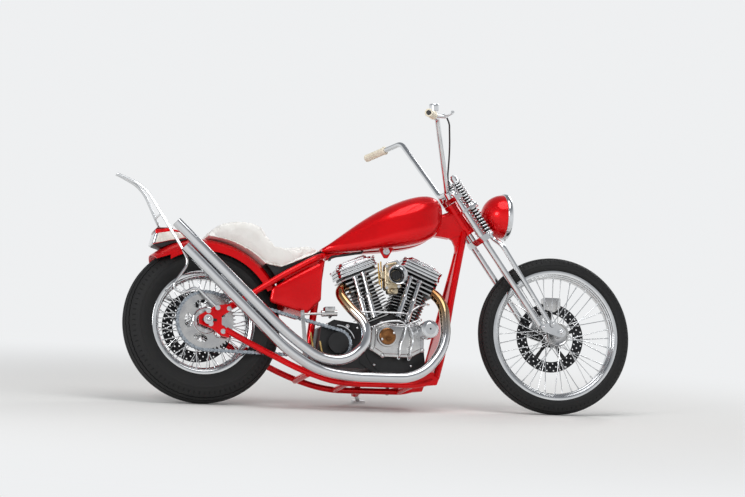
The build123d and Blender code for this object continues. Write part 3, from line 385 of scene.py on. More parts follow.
def linear(code):
    """An sRGB hex colour as linear red, green, blue and alpha."""
    values = [int(code[i:i + 2], 16) / 255 for i in (0, 2, 4)]
    return [v / 12.92 if v <= 0.04045 else ((v + 0.055) / 1.055) ** 2.4 for v in values] + [1.0]


def add_node(tree, kind, settings=None, inputs=None, links=None):
    """Adds a node with its settings, input values and links into it (input: output socket)."""
    node = tree.nodes.new(kind)
    for key, value in (settings or {}).items():
        setattr(node, key, value)
    for key, value in (inputs or {}).items():
        node.inputs[key].default_value = value
    for key, socket in (links or {}).items():
        tree.links.new(socket, node.inputs[key])
    return node


def surface_material(name, inputs):
    """A material with one Principled surface; returns it with its tree, shader and Object coordinates."""
    material = bpy.data.materials.new(name)
    material.use_nodes = True
    tree = material.node_tree
    shader = tree.nodes["Principled BSDF"]
    for key, value in inputs.items():
        shader.inputs[key].default_value = value
    coordinates = tree.nodes.new("ShaderNodeTexCoord").outputs["Object"]
    return material, tree, shader, coordinates


def mottled(name, low, high, scale, inputs, bump=0.0, bump_scale=0.0, roughness=None):
    """A surface whose colour wanders between two by a noise of that scale (per metre), with a fine bump."""
    material, tree, shader, place_in = surface_material(name, inputs)
    noise = add_node(tree, "ShaderNodeTexNoise", inputs={"Scale": scale, "Detail": 4.0},
                     links={"Vector": place_in})
    ramp = add_node(tree, "ShaderNodeValToRGB", links={"Fac": noise.outputs["Fac"]})
    for stop, position, colour in zip(ramp.color_ramp.elements, (0.35, 0.65), (low, high)):
        stop.position, stop.color = position, linear(colour)
    tree.links.new(ramp.outputs["Color"], shader.inputs["Base Color"])
    if roughness is not None:
        spread = add_node(tree, "ShaderNodeMapRange",
                          inputs={"To Min": roughness[0], "To Max": roughness[1]},
                          links={"Value": noise.outputs["Fac"]})
        tree.links.new(spread.outputs["Result"], shader.inputs["Roughness"])
    if bump:
        fine = add_node(tree, "ShaderNodeTexNoise", inputs={"Scale": bump_scale, "Detail": 2.0},
                        links={"Vector": place_in})
        height = add_node(tree, "ShaderNodeBump", inputs={"Strength": bump, "Distance": 0.0004},
                          links={"Height": fine.outputs["Fac"]})
        tree.links.new(height.outputs["Normal"], shader.inputs["Normal"])
    return material


def heat_tint_and_reflection(name):
    """Polished plating painted bronze within a hand's breadth of either exhaust port: heat tint, and a
    painted reflection of a brown ground.
    """
    material, tree, shader, place_in = surface_material(name, {"Metallic": 1.0, "Roughness": 0.07})
    gaps = [add_node(tree, "ShaderNodeVectorMath", {"operation": "DISTANCE"}, {1: list(place(port))},
                     {0: place_in}) for port in EXHAUST_PORTS]
    nearest = add_node(tree, "ShaderNodeMath", {"operation": "MINIMUM"},
                       links={0: gaps[0].outputs["Value"], 1: gaps[1].outputs["Value"]})
    share = add_node(tree, "ShaderNodeMapRange", inputs={"From Min": 0.03, "From Max": 0.26},
                     links={"Value": nearest.outputs[0]})
    ramp = add_node(tree, "ShaderNodeValToRGB", links={"Fac": share.outputs[0]})
    stops = ramp.color_ramp.elements
    # Bronze at the ports, plain chrome further off: heat tint, and a painted reflection of a brown ground
    stops[0].color, stops[1].color = linear("8C5A30"), linear("DADBDD")
    stops.new(0.45).color = linear("C7A273")
    tree.links.new(ramp.outputs["Color"], shader.inputs["Base Color"])
    return material


def metal(name, low, high, scale, roughness, **bump):
    """Bare or plated metal: its polish wanders between two roughness values as its colour does."""
    return mottled(name, low, high, scale, {"Metallic": 1.0}, roughness=roughness, **bump)


def coating(name, low, high, scale, roughness, **bump):
    """Paint or rubber of one roughness."""
    return mottled(name, low, high, scale, {"Metallic": 0.0, "Roughness": roughness}, **bump)


def glass(name, colour, roughness, transmission, index):
    """Clear or tinted glass of one colour."""
    return surface_material(name, {"Base Color": linear(colour), "Roughness": roughness,
                                   "Transmission Weight": transmission, "IOR": index})[0]


def make_materials():
    """Every finish of the machine, by the slot that it stands for."""
    return {
        # Candy enamel: metal flake under tinted clear coat, so it glows deep red and keeps a hard gloss.
        "red": mottled("Candy_enamel", "DC0009", "EE020D", 9.0,
                       {"Metallic": 0.45, "Roughness": 0.26, "Specular IOR Level": 0.15,
                        "Coat Weight": 0.5, "Coat Roughness": 0.03, "Coat IOR": 1.4},
                       bump=0.02, bump_scale=2600.0),
        # Plated steel, polished: near mirror with a trace of haze.
        "chrome": metal("Plated_chrome", "D6D8DA", "E4E5E6", 14.0, (0.05, 0.11)),
        # The pipes' plating, bronze near the heads: heat tint, and a painted reflection of a brown ground.
        "pipe_chrome": heat_tint_and_reflection("Heat_tint_and_reflection_chrome"),
        # Cast aluminium, buffed: softer and warmer than plating.
        "polished_aluminium": metal("Buffed_aluminium", "BDBDBE", "D2D1CF", 22.0, (0.16, 0.3),
                                    bump=0.08, bump_scale=420.0),
        # Wrinkle enamel on the cases.
        "black_metal": coating("Black_case_enamel", "0D0D0E", "171719", 30.0, 0.42,
                               bump=0.25, bump_scale=900.0),
        # Oiled chain steel.
        "steel": metal("Oiled_steel", "5A5854", "85827C", 90.0, (0.28, 0.5)),
        # Vulcanised rubber with a little dust.
        "tyre": mottled("Tyre_rubber", "0C0C0E", "171716", 26.0, {"Metallic": 0.0}, roughness=(0.62, 0.82),
                        bump=0.15, bump_scale=700.0),
        # Soft vinyl of the seat, with a fine grain.
        "white_vinyl": mottled("White_vinyl", "F6F3EE", "FCFAF6", 18.0,
                               {"Metallic": 0.0, "Roughness": 0.5, "Sheen Weight": 0.15},
                               bump=0.3, bump_scale=1300.0),
        # Cream rubber of the grips.
        "white_rubber": coating("Cream_rubber", "F2E6CC", "FAF0DC", 30.0, 0.55, bump=0.1, bump_scale=900.0),
        # Pressed glass of the headlamp, and the tail lamp's red acrylic.
        "clear_glass": glass("Lamp_glass", "EEF3F5", 0.04, 0.9, 1.5),
        "red_lens": glass("Red_lens", "8E0A10", 0.12, 0.55, 1.49),
        # Brake rings: ground steel, darkened by heat.
        "disc_steel": metal("Ground_steel", "2A2A2C", "3C3C3E", 60.0, (0.3, 0.42)),
        # Brass of the linkage rods and small fittings.
        "brass": metal("Brass_plating", "A8854A", "CCAF74", 24.0, (0.2, 0.36)),
        # Die-cast alloy of the carburettor, yellowed by its passivation.
        "warm_alloy": metal("Passivated_alloy", "A89678", "CDC0A6", 30.0, (0.22, 0.4),
                            bump=0.15, bump_scale=500.0),
        # Nickel-plated chain.
        "chain_steel": metal("Plated_chain", "8F979F", "C3CAD1", 120.0, (0.18, 0.34)),
        # Cast bronze of the points cover.
        "bronze": metal("Bronze_cover", "7A5030", "9A6C44", 30.0, (0.2, 0.34)),
        # Opal glass of the bulb and of the tail lamp's side panes.
        "frosted_glass": mottled("Frosted_glass", "E9E6DC", "F4F2EA", 40.0, {"Roughness": 0.4}),
        # Vinyl sheath of the cable and the hose.
        "black_cable": coating("Black_cable", "121213", "1C1C1D", 60.0, 0.5),
    }


# CAD nodes whose finish isn't their slot's
NODE_FINISHES = {"exhaust_front": "pipe_chrome", "exhaust_rear": "pipe_chrome"}

# CAD nodes whose moulded or cast edges are rounded, with the radius in millimetres
ROUNDED_EDGES = {"rear_brake": 1.2, "front_caliper": 3.0, "crankcase": 3.0}

# Points nearer than this are one, in metres
WELD_REACH = 0.00002


def smooth_node(name, edge):
    """Shades a CAD node smooth between its sharp edges, which a bevel may round, by modifiers alone."""
    node = frame["nodes"][name]
    node.data.polygons.foreach_set("use_smooth", np.ones(len(node.data.polygons), bool))
    weld = node.modifiers.new("Weld", "WELD")
    weld.merge_threshold = WELD_REACH
    if edge:
        bevel = node.modifiers.new("Bevel", "BEVEL")
        bevel.width = edge / 1000
        bevel.segments = 4
        bevel.limit_method = "ANGLE"
        bevel.angle_limit = np.radians(50)
    split = node.modifiers.new("Crease", "EDGE_SPLIT")
    split.split_angle = np.radians(32.0)


# Wheels


def tread_rows(crown, grooves, depth, width, edge):
    """Rows of the tyre across its tread: (angle on the crown, depth, share of zigzag, share of slot)."""
    rows = []
    half, wall = np.degrees(width / crown) / 2, 0.35
    for angle in grooves:
        rows += [(angle - half, 0, 1, 0), (angle - half + wall, depth, 1, 0),
                 (angle + half - wall, depth, 1, 0), (angle + half, 0, 1, 0)]
    marks = [-edge, *grooves, edge]
    rows += [(low + (high - low) * share, 0, 0, 0) for low, high in zip(marks, marks[1:])
             for share in (0.33, 0.5, 0.67)]
    shoulder = ((0, 1), (4, 1), (9, 1), (10, 0))
    rows += [(side * (edge + past), 0, 0, slot) for side in (-1, 1) for past, slot in shoulder]
    return np.array(sorted(rows), float)


def tyre_shape(axle, radius, crown, bead, rim_half, grooves, depth, width, edge, periods, zigzag):
    """A tyre: its section is a crown circle that runs into the beads, turned about the axle.

    Rows keep their angle on the crown circle, moved sideways by zigzag * triangle wave(period); a
    groove's floor and a shoulder slot lie deeper along the crown's radius."""
    middle = radius - crown
    rows = tread_rows(crown, grooves, depth, width, edge)
    phases = np.array([0.0, 0.02, 0.2, 0.22, 0.5, 0.78])
    turn = (np.arange(periods)[:, None] + phases[None]).ravel() / periods * 2 * np.pi
    wave = np.tile(1 - 4 * np.abs(((phases - 0.11) % 1.0) - 0.5), periods)
    slot = np.tile((np.abs(phases - 0.11) < 0.1).astype(float), periods)
    angle = np.radians(rows[None, :, 0] + zigzag * rows[None, :, 2] * wave[:, None])
    deep = rows[None, :, 1] + depth * 0.7 * rows[None, :, 3] * slot[:, None]
    y = (crown - deep) * np.sin(angle)
    r = middle + (crown - deep) * np.cos(angle)
    # The sidewall goes on round the crown circle, with two raised rings, and tucks in at the bead.
    side_angle = np.radians([edge + 16, edge + 22, edge + 23, edge + 26, edge + 27, edge + 36, 98.0, 106.0])
    raised = np.array([0.0, 0.0, 0.9, 0.9, 0.0, 0.0, 0.0, -1.5])
    side_y = (crown + raised) * np.sin(side_angle)
    side_r = middle + (crown + raised) * np.cos(side_angle)
    side_y = np.concatenate([side_y, [rim_half + 3.0, rim_half - 2.0, rim_half - 5.0]])
    side_r = np.concatenate([side_r, [bead + 19.0, bead + 14.0, bead + 4.0]])
    count = len(turn)
    repeat = (count, 1)
    y = np.concatenate([np.tile(-side_y[::-1], repeat), y, np.tile(side_y, repeat)], 1)
    r = np.concatenate([np.tile(side_r[::-1], repeat), r, np.tile(side_r, repeat)], 1)
    points = np.stack([r * np.cos(turn)[:, None], y, r * np.sin(turn)[:, None]], -1) + axle
    return points.reshape(-1, 3), [grid_faces(count, y.shape[1], True, True)]


def rim_shape(axle, flange, bead, half, well):
    """A rim: rolled lips, stepped inner face and a dropped well, turned about the axle."""
    t = np.linspace(0, np.pi, 7)
    lip = np.stack([half - 1.7 - 1.9 * np.cos(t), flange - 2 + 2.2 * np.sin(t)], -1)
    inner = np.array([(half + 0.2, bead + 6), (half + 0.2, bead - 1.5), (half - 2.0, bead - 3.5),
                      (half - 5.5, bead - 3.8), (half - 7.0, bead - 5.5), (half - 7.5, bead - 8.5),
                      (half - 10.5, bead - 9.4), (half * 0.56, bead - well + 0.5),
                      (half * 0.48, bead - well - 3.2), (half * 0.4, bead - well - 4.0)])
    outer = np.array([(half * 0.4, bead - well), (half - 8, bead - 1.0),
                      (half - 4, bead), (half - 3.6, bead + 5)])
    flip = np.array([-1.0, 1.0])
    profile = np.concatenate([lip, inner, (inner * flip)[::-1], (lip * flip)[::-1],
                              (outer * flip)[::-1], outer])
    return lathe(profile, axle, ACROSS, 144)


def around(angle):
    """Directions about the cross axis: (cos, 0, sin) of one angle or several."""
    return np.stack([np.cos(angle), np.zeros_like(angle), np.sin(angle)], -1)


def spokes_shape(axle, count, flange_radius, flange_y, rim_radius, rim_y, thick):
    """Crossed spokes: each leaves its flange hole by a short elbow and ends in a nipple at the rim."""
    shapes = []
    for side in (-1, 1):
        for i in range(count // 2):
            way = 1 if i % 2 else -1
            rim_angle = np.radians(360 / count * (2 * i + (side + 1) / 2))
            hub_angle = rim_angle + np.radians(62) * way
            out = 2.2 * way
            hub = axle + around(hub_angle) * flange_radius + ACROSS * side * (flange_y + out * 1.6)
            rim_point = axle + around(rim_angle) * rim_radius + ACROSS * side * rim_y
            ahead = (rim_point - hub) / np.linalg.norm(rim_point - hub)
            head = hub - ACROSS * side * out * 2.4
            shapes.append(swept(rounded([head, hub, rim_point], limit=5, steps=4), thick, 6))
            shapes.append(rod(rim_point - ahead * 16, rim_point - ahead * 0.5, 2.7, 3.3, 8))
    return joined(shapes)


def drilled_disc(axle, y, thick, inner, outer, sectors, hole):
    """A flat ring made of cells, each cell a square that shrinks to a round hole in its middle.

    A cell has k points (angle, radius) on its border, and k on the circle of its hole; the two
    faces are joined through each hole and round both rims."""
    rows, k = 3, 16
    angle_step = 2 * np.pi / sectors
    radius_step = (outer - inner) / rows
    border = np.linspace(0, 4, k, endpoint=False)
    edge_u = np.clip(np.abs((border + 0.5) % 4 - 2) - 0.5, 0, 1) * 2 - 1
    edge_v = np.clip(np.abs((border + 1.5) % 4 - 2) - 0.5, 0, 1) * 2 - 1
    turn = np.arctan2(edge_v, edge_u)
    cells = np.array([(i, j) for i in range(sectors) for j in range(rows)], float)
    stagger = (cells[:, 1] % 2) * 0.5
    mid_angle = (cells[:, 0] + stagger) * angle_step
    mid_radius = inner + (cells[:, 1] + 0.5) * radius_step
    ring_angle = mid_angle[:, None] + edge_u * angle_step / 2
    ring_radius = mid_radius[:, None] + edge_v * radius_step / 2
    border_x, border_z = ring_radius * np.cos(ring_angle), ring_radius * np.sin(ring_angle)
    centre_x, centre_z = mid_radius * np.cos(mid_angle), mid_radius * np.sin(mid_angle)
    spin = mid_angle[:, None] + np.pi / 2
    local_u, local_v = np.cos(turn) * hole, np.sin(turn) * hole
    hole_x = centre_x[:, None] + local_u * np.cos(spin) + local_v * np.cos(mid_angle[:, None])
    hole_z = centre_z[:, None] + local_u * np.sin(spin) + local_v * np.sin(mid_angle[:, None])
    loops = []
    for height, x, z in ((-0.5, border_x, border_z), (-0.5, hole_x, hole_z), (0.5, hole_x, hole_z),
                         (0.5, border_x, border_z)):
        loops.append(np.stack([x, np.full_like(x, y + height * thick), z], -1))
    points = np.stack(loops, 1) + axle
    faces = grid_faces(4, k, False, True)
    offsets = np.arange(len(cells)) * 4 * k
    body = (points.reshape(-1, 3), [(faces[None] + offsets[:, None, None]).reshape(-1, 4)])
    rims = [lathe([(y - thick / 2, radius), (y + thick / 2, radius)], axle, ACROSS, sectors * 8,
                  closed=False) for radius in (inner, outer)]
    return joined([body] + rims)


def ring_of(shape, axle, radius, y, count, start):
    """The shape, which stands on +z, set count times on a circle round the axle from a start angle.

    It faces out along y."""
    angles = start + np.arange(count) * 2 * np.pi / count
    side = np.sign(y) if y else 1.0
    turns = np.repeat(facing(ACROSS * side)[None], count, 0)
    return copies(shape, turns, axle + around(angles) * radius + ACROSS * y)


CHAIN_PITCH = 15.875
REAR_TEETH, FRONT_TEETH = 48, 23
FRONT_SPROCKET = np.array([558.0, 0.0, 259.0])


def chain_line():
    """The pins of the closed chain: arcs round both sprockets joined by the two outer tangents."""
    big, small = (CHAIN_PITCH / (2 * np.sin(np.pi / teeth)) for teeth in (REAR_TEETH, FRONT_TEETH))
    centre = FRONT_SPROCKET
    span = centre - REAR_AXLE
    length = np.linalg.norm(span)
    heading = np.arctan2(span[2], span[0])
    spread = np.arcsin((big - small) / length)
    run = np.sqrt(length ** 2 - (big - small) ** 2)
    upper, lower = heading + np.pi / 2 - spread, heading - np.pi / 2 + spread
    arc_big, arc_small = (2 * np.pi - (upper - lower)) * big, (upper - lower) * small
    total = arc_big + arc_small + 2 * run
    links = 2 * round(total / CHAIN_PITCH / 2)
    s = (np.arange(links) * total / links)[:, None]
    angle_big, angle_small = upper + s / big, lower + (s - arc_big - run) / small
    share_low, share_up = (s - arc_big) / run, (s - arc_big - run - arc_small) / run
    low_start, low_end = REAR_AXLE + big * around(lower), centre + small * around(lower)
    up_start, up_end = centre + small * around(upper), REAR_AXLE + big * around(upper)
    low = low_start + share_low * (low_end - low_start)
    up = up_start + share_up * (up_end - up_start)
    round_big = REAR_AXLE + big * around(angle_big[:, 0])
    round_small = centre + small * around(angle_small[:, 0])
    stretches = [s < arc_big, s < arc_big + run, s < arc_big + run + arc_small]
    return np.select(stretches, [round_big, low, round_small], up)


def chain_shape(y):
    """A roller chain: waisted plates, inner and outer by turns, with a roller and pin at each joint."""
    pins = chain_line()
    ahead = np.roll(pins, -1, 0) - pins
    length = np.linalg.norm(ahead, axis=1).mean()
    angle = np.arctan2(ahead[:, 2], ahead[:, 0])
    turns = np.stack([around(angle), np.tile(ACROSS, (len(pins), 1)), around(angle + np.pi / 2)], -1)
    plate_end, waist = 7.1, 4.6
    t = np.radians(np.arange(-120, 121, 30))
    end = plate_end * np.stack([np.cos(t), np.sin(t)], -1)
    outline = np.concatenate([end + [length, 0], [[length / 2, waist]], -end, [[length / 2, -waist]]])
    n = len(outline)
    shapes = []
    # Inner, then outer plates: the first pin, the plate's near and far face
    for first, near, far in ((0, 5.0, 6.8), (1, 7.2, 9.0)):
        pick = np.arange(first, len(pins), 2)
        for side in (-1, 1):
            plate = np.concatenate([np.stack([outline[:, 0], np.full(n, side * near), outline[:, 1]], -1),
                                    np.stack([outline[:, 0], np.full(n, side * far), outline[:, 1]], -1)])
            faces = [grid_faces(2, n, False, True), np.stack([np.arange(n)[::-1], np.arange(n) + n])]
            shapes.append(copies((plate, faces), turns[pick], pins[pick] + ACROSS * y))
    # Roller and pin: half length, radius, sides
    for half, radius, sides in ((4.9, 5.0, 12), (10.2, 2.6, 10)):
        shape = rod(ACROSS * -half, ACROSS * half, radius, sides=sides)
        shapes.append(copies(shape, np.repeat(np.eye(3)[None], len(pins), 0), pins + ACROSS * y))
    return joined(shapes)


class CHOPPER_OT_tyres(bpy.types.Operator):
    """Make both tyres with their cut tread"""
    bl_idname = "chopper.tyres"
    bl_label = "Tyres"

    def execute(self, context):
        wheels = context.scene.chopper_wheels
        # Bead, rim's half width, grooves, their depth and width, the tread's edge, blocks and zigzag
        rear = tyre_shape(REAR_AXLE, REAR_RADIUS, REAR_CROWN, 203.2, 45.0, (-44, -28, -10, 10, 28, 44),
                          wheels.tread_depth, 4.2, 60.0, 84, 1.7)
        front = tyre_shape(FRONT_AXLE, FRONT_RADIUS, FRONT_CROWN, 266.7, 30.0, (-36, -12, 12, 36),
                           wheels.tread_depth * 0.8, 3.2, 56.0, 96, 2.0)
        for name, shape, node, body in (("Rear_tyre", rear, "rear_tyre", "rear_wheel"),
                                        ("Front_tyre", front, "front_tyre", "front_wheel")):
            add_piece(name, shape, "tyre", body, crease=40, replaces=node)
        return {"FINISHED"}


class CHOPPER_OT_wheels(bpy.types.Operator):
    """Make both wire wheels: rim, spokes with nipples, and hub"""
    bl_idname = "chopper.wheels"
    bl_label = "Wire wheels"

    def execute(self, context):
        wheels = context.scene.chopper_wheels
        # Rim: flange, bead, half width, well. Spokes: count, flange radius and y, rim radius and y.
        table = (("Rear", REAR_AXLE, (217.0, 203.2, 45.0, 13.0), (60, 40.0, 46.0, 186.8, 12.0)),
                 ("Front", FRONT_AXLE, (281.5, 266.7, 30.0, 13.0), (40, 26.0, 33.0, 250.3, 7.0)))
        for name, axle, rim, spokes in table:
            key = name.lower()
            add_piece(name + "_rim", rim_shape(axle, *rim), "chrome", key + "_wheel", crease=50,
                      replaces=key + "_wire_wheel")
            add_piece(name + "_spokes", spokes_shape(axle, *spokes, wheels.spoke_radius), "chrome",
                      key + "_wheel", crease=60)
        rear_hub = [(-98, 10), (-98, 30), (-78, 34), (-56, 34), (-52, 36), (-49.5, 42), (-48, 44),
                    (-44, 44), (-42, 42), (-38, 33), (-30, 30), (30, 30), (38, 33), (42, 42), (44, 44),
                    (48, 44), (49.5, 42), (52, 36), (56, 28), (96, 28), (96, 10)]
        add_piece("Rear_hub", lathe(rear_hub, REAR_AXLE, ACROSS), "polished_aluminium", "rear_wheel")
        front_hub = [(-58, 9), (-58, 17), (-53.5, 19), (-53, 21), (-53, 38), (-55, 44), (-58, 47),
                     (-58, 49.5), (-56, 51), (-51, 52), (-48, 49), (-46, 44), (-43.5, 22), (-40, 20),
                     (-38, 22), (-36.5, 28), (-35, 30), (-31, 30), (-29, 28), (-25, 21), (-15, 19),
                     (15, 19), (25, 21), (29, 28), (31, 30), (35, 30), (37, 27), (44, 28), (56, 28),
                     (56, 9)]
        add_piece("Front_hub", lathe(front_hub, FRONT_AXLE, ACROSS), "polished_aluminium", "front_wheel")
        return {"FINISHED"}


class CHOPPER_OT_chain(bpy.types.Operator):
    """Make the roller chain link by link"""
    bl_idname = "chopper.chain"
    bl_label = "Chain"

    def execute(self, context):
        add_piece("Chain", chain_shape(-90.0), "steel", crease=40, finish="chain_steel", replaces="chain")
        return {"FINISHED"}


class CHOPPER_OT_discs(bpy.types.Operator):
    """Make the drilled brake discs on their five-armed carriers, and the sprocket's bolts"""
    bl_idname = "chopper.discs"
    bl_label = "Brake discs"

    def execute(self, context):
        arm_outline = [(36, -11), (70, -6), (110, -9), (110, 9), (70, 6), (36, 11)]
        arm = slab(closed_rounded(arm_outline, 6), -3.0, 3.0, 1.2)
        for name, axle, y, body in (("Rear", REAR_AXLE, 84.0, "rear_wheel"),
                                    ("Front", FRONT_AXLE, 50.0, "front_wheel")):
            disc = drilled_disc(axle, y, thick=5.0, inner=105.0, outer=150.0, sectors=30, hole=3.5)
            add_piece(name + "_disc", disc, "black_metal", body, finish="disc_steel",
                      replaces=name.lower() + "_disc")
            angles = np.radians(72 * np.arange(5) + 18)
            turns = np.stack([around(angles), around(angles + np.pi / 2), np.tile(ACROSS, (5, 1))], -1)
            arms = copies(arm, turns, np.tile(axle + ACROSS * y, (5, 1)))
            ring = lathe([(y - 5, 29.2), (y - 5, 41), (y - 4, 42), (y + 4, 42), (y + 5, 41), (y + 5, 29.2)],
                         axle, ACROSS)
            add_piece(name + "_carrier", [arms, ring], "black_metal", body)
            buttons = [ring_of(dome_bolt(7.5, 4.0), axle, 106.0, y + 2.6, 5, np.radians(18)),
                       ring_of(hexagon_bolt(4.2, 4.0), axle, 35.5, y + 5.0, 5, np.radians(54))]
            add_piece(name + "_disc_bolts", buttons, "chrome", body)
        rim = [(-93, 52), (-95, 53), (-96, 55), (-95, 57), (-93, 58)]
        sprocket = [ring_of(hexagon_bolt(5.0, 5.0), REAR_AXLE, 43.0, -93.0, 10, 0.3),
                    lathe(rim, REAR_AXLE, ACROSS, 72)]
        add_piece("Sprocket_bolts", sprocket, "chrome", "rear_wheel")
        return {"FINISHED"}


# The springs' place from the steering axis, and how far the rockers' pivots lie from the axle
SPRING_AHEAD = 62.0
SPRING_SIDE = 46.0
ROCKER_PIVOT_DROP = -62.2
AXLE_ALONG = (WHEELBASE - NECK[0]) * np.sin(RAKE) + (NECK[2] - FRONT_AXLE[2]) * np.cos(RAKE)


def coil(start, end, y, turns, radius, wire):
    """A coil spring: a helix about the steering direction whose first and last turns lie flat."""
    t = np.linspace(0, turns, turns * 22 + 1)
    closed_turns = np.clip(t - 0.8, 0, turns - 1.6) / (turns - 1.6)
    along = start + wire + (end - start - 2 * wire) * closed_turns
    centre = NECK + STEER_AHEAD * SPRING_AHEAD + ACROSS * y + STEER_DOWN * along[:, None]
    turn = 2 * np.pi * t[:, None]
    line = centre + radius * (np.cos(turn) * STEER_AHEAD + np.sin(turn) * ACROSS)
    return swept(line, wire, 10, level=STEER_DOWN)


class CHOPPER_OT_fork(bpy.types.Operator):
    """Make the fork's coil springs, the nuts of its rockers and the caps of its clamps"""
    bl_idname = "chopper.fork"
    bl_label = "Fork fittings"

    def execute(self, context):
        spans = ((-68.0, 49.5), (60.5, 193.5))
        coils = [coil(start, end, side * SPRING_SIDE, turns=10, radius=18.4, wire=3.6)
                 for start, end in spans for side in (-1, 1)]
        # Black tubes inside the coils: painted shade that darkens the gaps between the turns
        coil_shade = [lathe([(start, 7.5), (start, 13.0), (end, 13.0), (end, 7.5)],
                         steer(0, SPRING_AHEAD, side * SPRING_SIDE), STEER_DOWN, 24)
                   for start, end in spans for side in (-1, 1)]
        add_piece("Spring_coil_shade", coil_shade, "black_metal", "fork")
        add_piece("Fork_coils", coils, "chrome", "fork", crease=60, replaces="fork_springs")
        nuts = [set_on(hexagon_bolt(17.0, 13.0), steer(-22, 0), -STEER_DOWN),
                set_on(hexagon_bolt(10.0, 9.0), steer(55, 84), STEER_AHEAD)]
        washer = [(-1.2, 8.6), (-1.2, 23.6), (0, 24.2), (1.2, 23.6), (1.2, 8.6)]
        leg_cap = [(0, 2), (0, 14), (-4, 14), (-7, 12), (-14, 10), (-19, 6), (-21, 2)]
        for side in (-1, 1):
            out, leg = ACROSS * side, side * 80
            for joint in (steer(AXLE_ALONG + ROCKER_PIVOT_DROP, 12), steer(AXLE_ALONG - 50.2, 55)):
                nuts.append(set_on(capped_nut(9.5, 8.0, 6.0, 5.0), joint + out * 108.0, out))
            nuts.append(set_on(capped_nut(14.0, 10.0, 9.0, 8.0), FRONT_AXLE + out * 104.0, out))
            # The spring rods' top nuts and the washers over and under each spring
            rod_end = steer(-92, SPRING_AHEAD, side * SPRING_SIDE)
            nuts.append(set_on(hexagon_bolt(9.0, 9.0), rod_end, -STEER_DOWN))
            nuts += [lathe(washer, steer(along, SPRING_AHEAD, side * SPRING_SIDE), STEER_DOWN, 36)
                     for along in (-69.5, 49.6, 60.0, 194.0)]
            # Nuts and acorn caps of the rigid legs, and pinch bolts on the clamps' front edges
            nuts.append(set_on(hexagon_bolt(9.0, 7.0), steer(50.2, 12, leg), -STEER_DOWN))
            nuts.append(lathe(leg_cap, steer(-30, 12, leg), STEER_DOWN, 32))
            nuts += [set_on(hexagon_bolt(6.0, 6.0), steer(along, ahead, leg), STEER_AHEAD)
                     for along, ahead in ((-12.0, 34), (197.0, 36))]
        add_piece("Fork_nuts", nuts, "chrome", "fork")
        return {"FINISHED"}


LAMP = NECK + np.array([233.0, 0.0, -41.0])


class CHOPPER_OT_headlamp(bpy.types.Operator):
    """Make the headlamp: its painted bowl, chrome rim, reflector, bulb and fluted glass"""
    bl_idname = "chopper.headlamp"
    bl_label = "Headlamp"

    def execute(self, context):
        t = np.linspace(0, np.pi / 2, 14)
        bowl = np.stack([-92 + 93 * (1 - np.cos(t)) ** 0.9, 94 * np.sin(t) ** 0.85], -1)
        bowl[0] = (-92, 0.6)
        inner = bowl[::-1] * [1.0, 0.97] + [2.0, 0.0]
        shell = lathe(np.concatenate([bowl, inner[:-1], [[-89, 0.6]]]), LAMP, AHEAD, 72)
        add_piece("Headlamp_bowl", shell, "red", "fork", crease=50, replaces="headlamp_shell")
        rim = [(-1, 90), (-1, 95), (1, 98), (5, 99.4), (12, 99.4), (18, 98), (22, 94.5), (23.4, 91),
               (22.5, 88.2), (19, 87.6), (14, 88.5), (4, 90)]
        add_piece("Headlamp_rim", lathe(rim, LAMP, AHEAD, 96), "chrome", "fork", crease=50)
        s = np.linspace(0.02, 1, 12)
        dish = np.stack([-60 + 66 * s ** 2, 88 * s], -1)
        dish = np.concatenate([dish, (dish - [1.5, 0])[::-1]])
        add_piece("Headlamp_reflector", lathe(dish, LAMP, AHEAD, 72), "chrome", "fork", crease=60)
        bulb = lathe([(-58, 0.5), (-58, 7), (-30, 9), (-18, 9), (-12, 6), (-10, 0.5)], LAMP, AHEAD, 24)
        add_piece("Headlamp_bulb", bulb, "clear_glass", "fork", crease=60, finish="frosted_glass")
        add_piece("Headlamp_glass", fluted_glass(LAMP, 87.0), "clear_glass", "fork", crease=None,
                  replaces="headlamp_lens")
        screw = bolts([(*(LAMP + [12, 0, -100.5]), -UP)], dome_bolt(5.0, 4.0))
        add_piece("Headlamp_screw", screw, "chrome", "fork")
        return {"FINISHED"}


def fluted_glass(centre, radius):
    """A lamp glass: front x = 19 + 7*(1 - s^2), back x = 14 + 5*(1 - s^2) + 0.8*cos(pi*y/7).

    s is the share of the radius."""
    s = np.linspace(0.01, 1, 20)
    t = np.linspace(0, 2 * np.pi, 96, endpoint=False)
    across, high = np.cos(t)[:, None] * s * radius, np.sin(t)[:, None] * s * radius
    front = np.stack([np.broadcast_to(19 + 7 * (1 - s ** 2), across.shape), across, high], -1)
    flutes = 0.8 * np.cos(across / 7.0 * np.pi)
    back = np.stack([np.broadcast_to(14 + 5 * (1 - s ** 2), across.shape) + flutes, across, high], -1)
    points = np.concatenate([front, back[:, ::-1]], 1)
    return points.reshape(-1, 3) + centre, [grid_faces(96, 40, True, True)]


BAR_END = NECK + np.array([-234.0, 471.0, 289.0])
BAR_BEND = NECK + np.array([-138.0, 269.0, 318.0])


def bar_axes(side):
    """The bar's end on one side, with the directions inboard along it, ahead and up."""
    flip = np.array([1.0, side, 1.0])
    end = BAR_END * flip
    inboard = (BAR_BEND - BAR_END) * flip
    inboard /= np.linalg.norm(inboard)
    up = UP - inboard * inboard[2]
    up /= np.linalg.norm(up)
    return end, inboard, up


